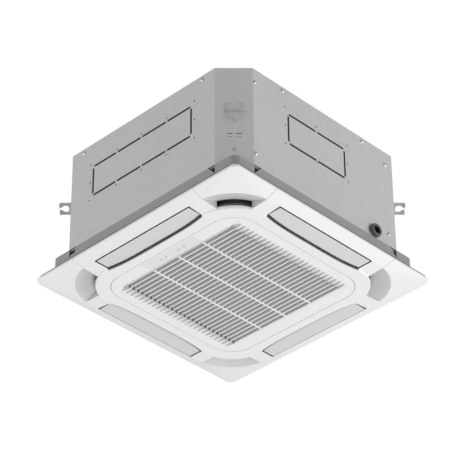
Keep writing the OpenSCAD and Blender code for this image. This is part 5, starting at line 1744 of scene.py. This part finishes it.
    def point(self, x: np.ndarray, y: np.ndarray, z: np.ndarray) -> np.ndarray:
        """A point of the grille in the row frame, in metres."""
        return on_side(x, -np.asarray(y, float), z + self.sink)

    def box(self, skin: Skin, x: Span, y: Span, z: Span) -> None:
        """Adds a block between two places along each axis."""
        skin.block(*np.sort(np.stack([self.point(*corner) for corner in zip(x, y, z)]), axis=0))

    def plate_ring(self) -> np.ndarray:
        """Grid between the plate's outline and the nearest points of the rectangle round the slots.

        Beside the first and the last slot the height falls from the dip to 0 along half a cosine wave.

        Returns:
            The grid, seven rows round the plate.
        """
        reach = self.half - self.corner
        bend_u, bend_r = arc_point(reach, self.corner, np.linspace(0.0, math.pi / 2, self.arc_points))
        flat = np.linspace(-1.0, 1.0, self.side_points)[1:-1] * reach
        u, r = np.r_[flat, bend_u], np.r_[np.full(len(flat), self.half), bend_r]
        x, y = np.concatenate([np.stack(plan(u, r, k)) for k in range(4)], axis=1)
        reach_x, reach_y = self.field_half, self.length + self.groove
        near_y = np.clip(y, -reach_y, reach_y)
        sunk = self.dip * np.clip((reach_y - np.abs(near_y)) / self.dip_w, 0.0, 1.0)
        sunk = np.where(np.abs(x) > reach_x, sunk, 0.0)
        rows = []
        for share in np.linspace(0.0, 1.0, self.dip_points):
            limit = reach_x + self.dip_w * share
            rows.append(self.point(np.clip(x, -limit, limit), near_y,
                                   sunk * (0.5 + 0.5 * math.cos(math.pi * share))))
        return np.stack([*rows, self.point(x, y, 0.0)])

    def grooves(self, sign: int) -> np.ndarray:
        """Grid of the strip with the finger grooves beyond one end of the slots.

        Height = groove depth times (1 - run) times a smoothed square wave across the slots, where run
        goes from 0 at the slots' ends to 1 at the strip's far edge and the wave narrows with run. A
        first row at the slats' height closes each slot's end.

        Args:
            sign: 1 for the end at +Y, -1 for the other.

        Returns:
            The grid.
        """
        x = np.linspace(-self.field_half, self.field_half, self.wave_points)
        run = np.linspace(0.0, 1.0, self.run_points)[:, None]
        phase = np.abs((x / self.pitch + self.slots / 2) % 1.0 - 0.5) * self.pitch
        half_w = self.gap / 2 * (1 - self.groove_taper * run) + self.groove_out
        inside = np.clip((half_w - phase[None, :]) / self.groove_soft, 0.0, 1.0)
        wave = inside * inside * (3 - 2 * inside)
        top = (self.depth - self.groove_top) * wave[:1]
        height = np.concatenate([top, self.groove_d * (1 - run) * wave])
        x, run = np.broadcast_arrays(x[None, :], np.concatenate([run[:1], run]))
        return self.point(x, sign * (self.length + self.groove * run), height)

    def slat(self, lips: Skin, uprights: Skin, i: int) -> None:
        """Adds slat number i, two profiles carried along Y.

        The lip has two quarter circles as its lower edges. The upright's curved side moves by the lean
        times its height and back by the nose times (1 - (1 - rise) squared), its other side is straight.

        Args:
            lips: Where the lip goes.
            uprights: Where the upright goes.
            i: The slat's number, from 0.
        """
        middle, half_w, r = (i - self.slots / 2) * self.pitch, (self.pitch - self.gap) / 2, self.lip_r
        low, high = middle - half_w * (i > 0), middle + half_w
        quarter = np.linspace(0.0, math.pi / 2, self.lip_points)
        across, down = r * np.cos(quarter), r - r * np.sin(quarter)
        left = np.stack([low + r - across, down], -1)
        right = np.stack([high - r + r * np.sin(quarter), r - across], -1)
        foot = r - self.slat_in
        tall = self.depth - foot
        rise = np.linspace(0.0, 1.0, self.nose_points)
        shift = self.lean * tall * rise - self.nose * (1 - (1 - rise) ** 2)
        near = np.stack([low + self.slat_in + shift, foot + tall * rise], -1)
        side = high - self.slat_in
        far = np.array([[side + self.lean * tall, self.depth], [side, foot]])
        end = self.length + self.tail
        path = np.array([[self.point(0.0, y, 0.0), [MM, 0, 0], [0, 0, MM]] for y in (-end, end)])
        lips.tube(path, np.concatenate([left, right]))
        uprights.tube(path, np.concatenate([near, far]))

    def ear(self, skin: Skin, s: int) -> None:
        """Adds the ear and the pin of one hinge: an upright block with two rods along Y through it.

        Args:
            skin: Where they go.
            s: 1 for the hinge at +Y, -1 for the other.
        """
        x, y, half_w = -self.hinge_x, s * self.hinge_y, self.ear_w / 2
        self.box(skin, (x - self.ear_r, x + self.ear_r), (y - half_w, y + half_w),
                 (self.rib_low, self.hinge_z))
        for half, r in ((half_w, self.ear_r), (self.pin_l / 2, self.pin_r)):
            skin.rod(self.point(x, y - half, self.hinge_z), self.point(x, y + half, self.hinge_z), r * MM)

    def plate(self) -> list[tuple[bpy.types.Object, Coats]]:
        """Makes the plate, the floors of the finger grooves, drawn darker as painted shade, and the slots'
        ends, painted near-black as shade.

        A quad of the grooves' grid belongs to the plate where its mean height is under the groove edge.

        Returns:
            The pieces with their finishes.
        """
        plate, floors, stops = Skin().grid(self.plate_ring(), loop=True), Skin(), Skin()
        for sign, dark in ((-1, 1), (1, self.open_rows)):
            grid = self.grooves(sign)
            z = grid[..., 2] / MM - FACE - self.sink
            deep = (z[:-1, :-1] + z[:-1, 1:] + z[1:, 1:] + z[1:, :-1]) / 4 > self.groove_edge
            plate.grid(grid, keep=~deep)
            # The first rows close the slots' ends and are painted near-black as shade.
            stops.grid(grid[:dark + 1], keep=deep[:dark])
            # Groove floors are drawn darker: painted shade.
            floors.grid(grid[dark:], keep=deep[dark:])
        return [(plate.build("grille_plate", self.wall, self.bevel), Coats.WHITE),
                (floors.build("grille_finger_grooves", self.groove_t, crisp=self.crisp), Coats.GROOVE_SHADE),
                (stops.build("grille_slot_end_shade", self.stop_t, crisp=self.crisp), Coats.SLOT_END_SHADE)]

    def slat_field(self) -> list[tuple[bpy.types.Object, Coats]]:
        """Makes all slats, their lips and their uprights as one piece each; the uprights are drawn grey as
        painted shade in the slots.

        Returns:
            The pieces with their finishes.
        """
        lips, uprights = Skin(), Skin()
        for i in range(self.slots + 1):
            self.slat(lips, uprights, i)
        return [(lips.build("grille_slat_edges", crisp=self.crisp), Coats.WHITE),
                (uprights.build("grille_slats", crisp=self.crisp), Coats.SLAT_SHADE)]

    def ribs(self) -> list[tuple[bpy.types.Object, Coats]]:
        """Makes the cross-bars and all that stands behind the plate as one piece.

        Returns:
            The piece with its finish.
        """
        skin = Skin()
        reach = self.field_half + self.bar_out
        for y in (-self.bars, 0.0, self.bars):
            self.box(skin, (-reach, reach), (y - self.bar_w / 2, y + self.bar_w / 2),
                     (self.bar_low, self.bar_top))
        rib = self.half - self.rib_in - self.rib_t
        rail = reach + self.rail_out
        span, rise = (-self.rib_span, self.rib_span), (self.rib_low, self.rib_top)
        for s in (-1, 1):
            self.box(skin, span, (s * rib, s * (rib + self.rib_t)), rise)
            self.box(skin, (-rail, rail), (s * self.length, s * (self.length + self.rail_w)),
                     (self.rail_low, self.rail_top))
        self.box(skin, (rib, rib + self.rib_t), span, rise)
        for s in (-1, 1):
            self.ear(skin, s)
            foot, top = (self.point(self.strike_x, s * self.strike_y, z)
                         for z in (self.rib_low, self.strike_top))
            skin.rod(foot, top, self.strike_r * MM)
        return [(skin.build("grille_ribs", bevel=self.rib_bevel), Coats.WHITE)]

    def display(self) -> None:
        """Makes the display strip and its signal lamps."""
        low, high = (np.array(c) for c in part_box("display_window"))
        low[2] += self.window_sink * MM
        window = Skin().block(low, high).build("display_strip", bevel=self.rib_bevel,
                                               bevel_over=self.window_bevel_over)
        self.paint.dress(window, Coats.WINDOW, "grille", "display_window")
        lamps = Skin()
        for x, y, r in self.lenses:
            face, back = self.point(x, y, -self.sink), self.point(x, y, self.lens_back)
            lamps.rod(face, back, r * MM, self.lens_points)
        self.paint.dress(lamps.build("signal_lenses"), Coats.LENS, "grille")

    def build(self) -> None:
        """Makes the grille's pieces."""
        for obj, coat in self.plate() + self.slat_field() + self.ribs():
            self.paint.dress(obj, coat, "grille", "intake_grille")
        self.display()


def numbered(name: str, count: int = 4) -> tuple[str, ...]:
    """The names that end in _1, _2 and so on."""
    return tuple(f"{name}_{i + 1}" for i in range(count))


NODE_COATS: dict[Coats, tuple[str, ...]] = {
    Coats.CASING: ("top_plate", "side_plate_drain", "side_plate_pipe", "side_plate_wiring",
                   "side_plate_duct", *numbered("corner_plate")),
    Coats.BRACKET: (*numbered("hanger_bracket"), "coil_end_plates", "pipe_cover"),
    Coats.BOX: ("control_box", "control_box_lid"),
    Coats.SCREW: ("casing_screws", "motor_bolts", "panel_bolts", "motor_shaft"),
    Coats.COPPER: ("coil_tubes", "refrigerant_pipes"),
    Coats.BRASS: ("flare_nuts", "fan_nut"),
    Coats.RUBBER: ("cable_gland", "motor_mounts"),
    Coats.HOSE: ("drain_hose",),
    Coats.LINER: ("casing_liner",),
    Coats.GASKET: ("panel_gasket",),
    Coats.PAN: ("drain_pan",),
    Coats.FINS: ("coil_fins",),
    Coats.PALE: ("drain_pump", "float_switch", "float_ball", "terminal_block", "vane_motors",
                 "turbo_fan", "bell_mouth"),
    Coats.BLACK: ("pump_impeller", "fan_motor", *numbered("catch_plunger", 2)),
    Coats.BOARD: ("circuit_board",),
    Coats.WHITE: ("panel_frame", *numbered("corner_cover"), "intake_grille"),
    Coats.RIM: ("panel_base", "hinge_slides"),
    Coats.VANE: numbered("vane"),
    Coats.WINDOW: ("display_window",),
    Coats.FILTER: ("filter_frame",),
    Coats.NET: ("filter_mesh",),
}


@dataclass
class CarriedNodes:
    """The CAD nodes whose own shape shows, each with its finish.

    Attributes:
        paint: Makes and applies the materials.
    """

    paint: Paint

    def build(self) -> None:
        """Puts the finishes on the nodes."""
        for coat, nodes in NODE_COATS.items():
            for node in nodes:
                self.paint.coat(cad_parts[node], coat)


def main() -> None:
    """Builds the scene."""
    logging.basicConfig(level=logging.INFO, format="%(name)s: %(message)s")
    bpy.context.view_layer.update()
    Studio().build()
    paint = Paint()
    panel = Panel(paint)
    covers = [CornerCover(paint, panel, k) for k in range(4)]
    for part in (CarriedNodes(paint), panel, *covers, VaneGapShade(paint, panel), KnockOuts(paint),
                 DrainSocket(paint), Grille(paint)):
        part.build()


if __name__ == "__main__":
    main()
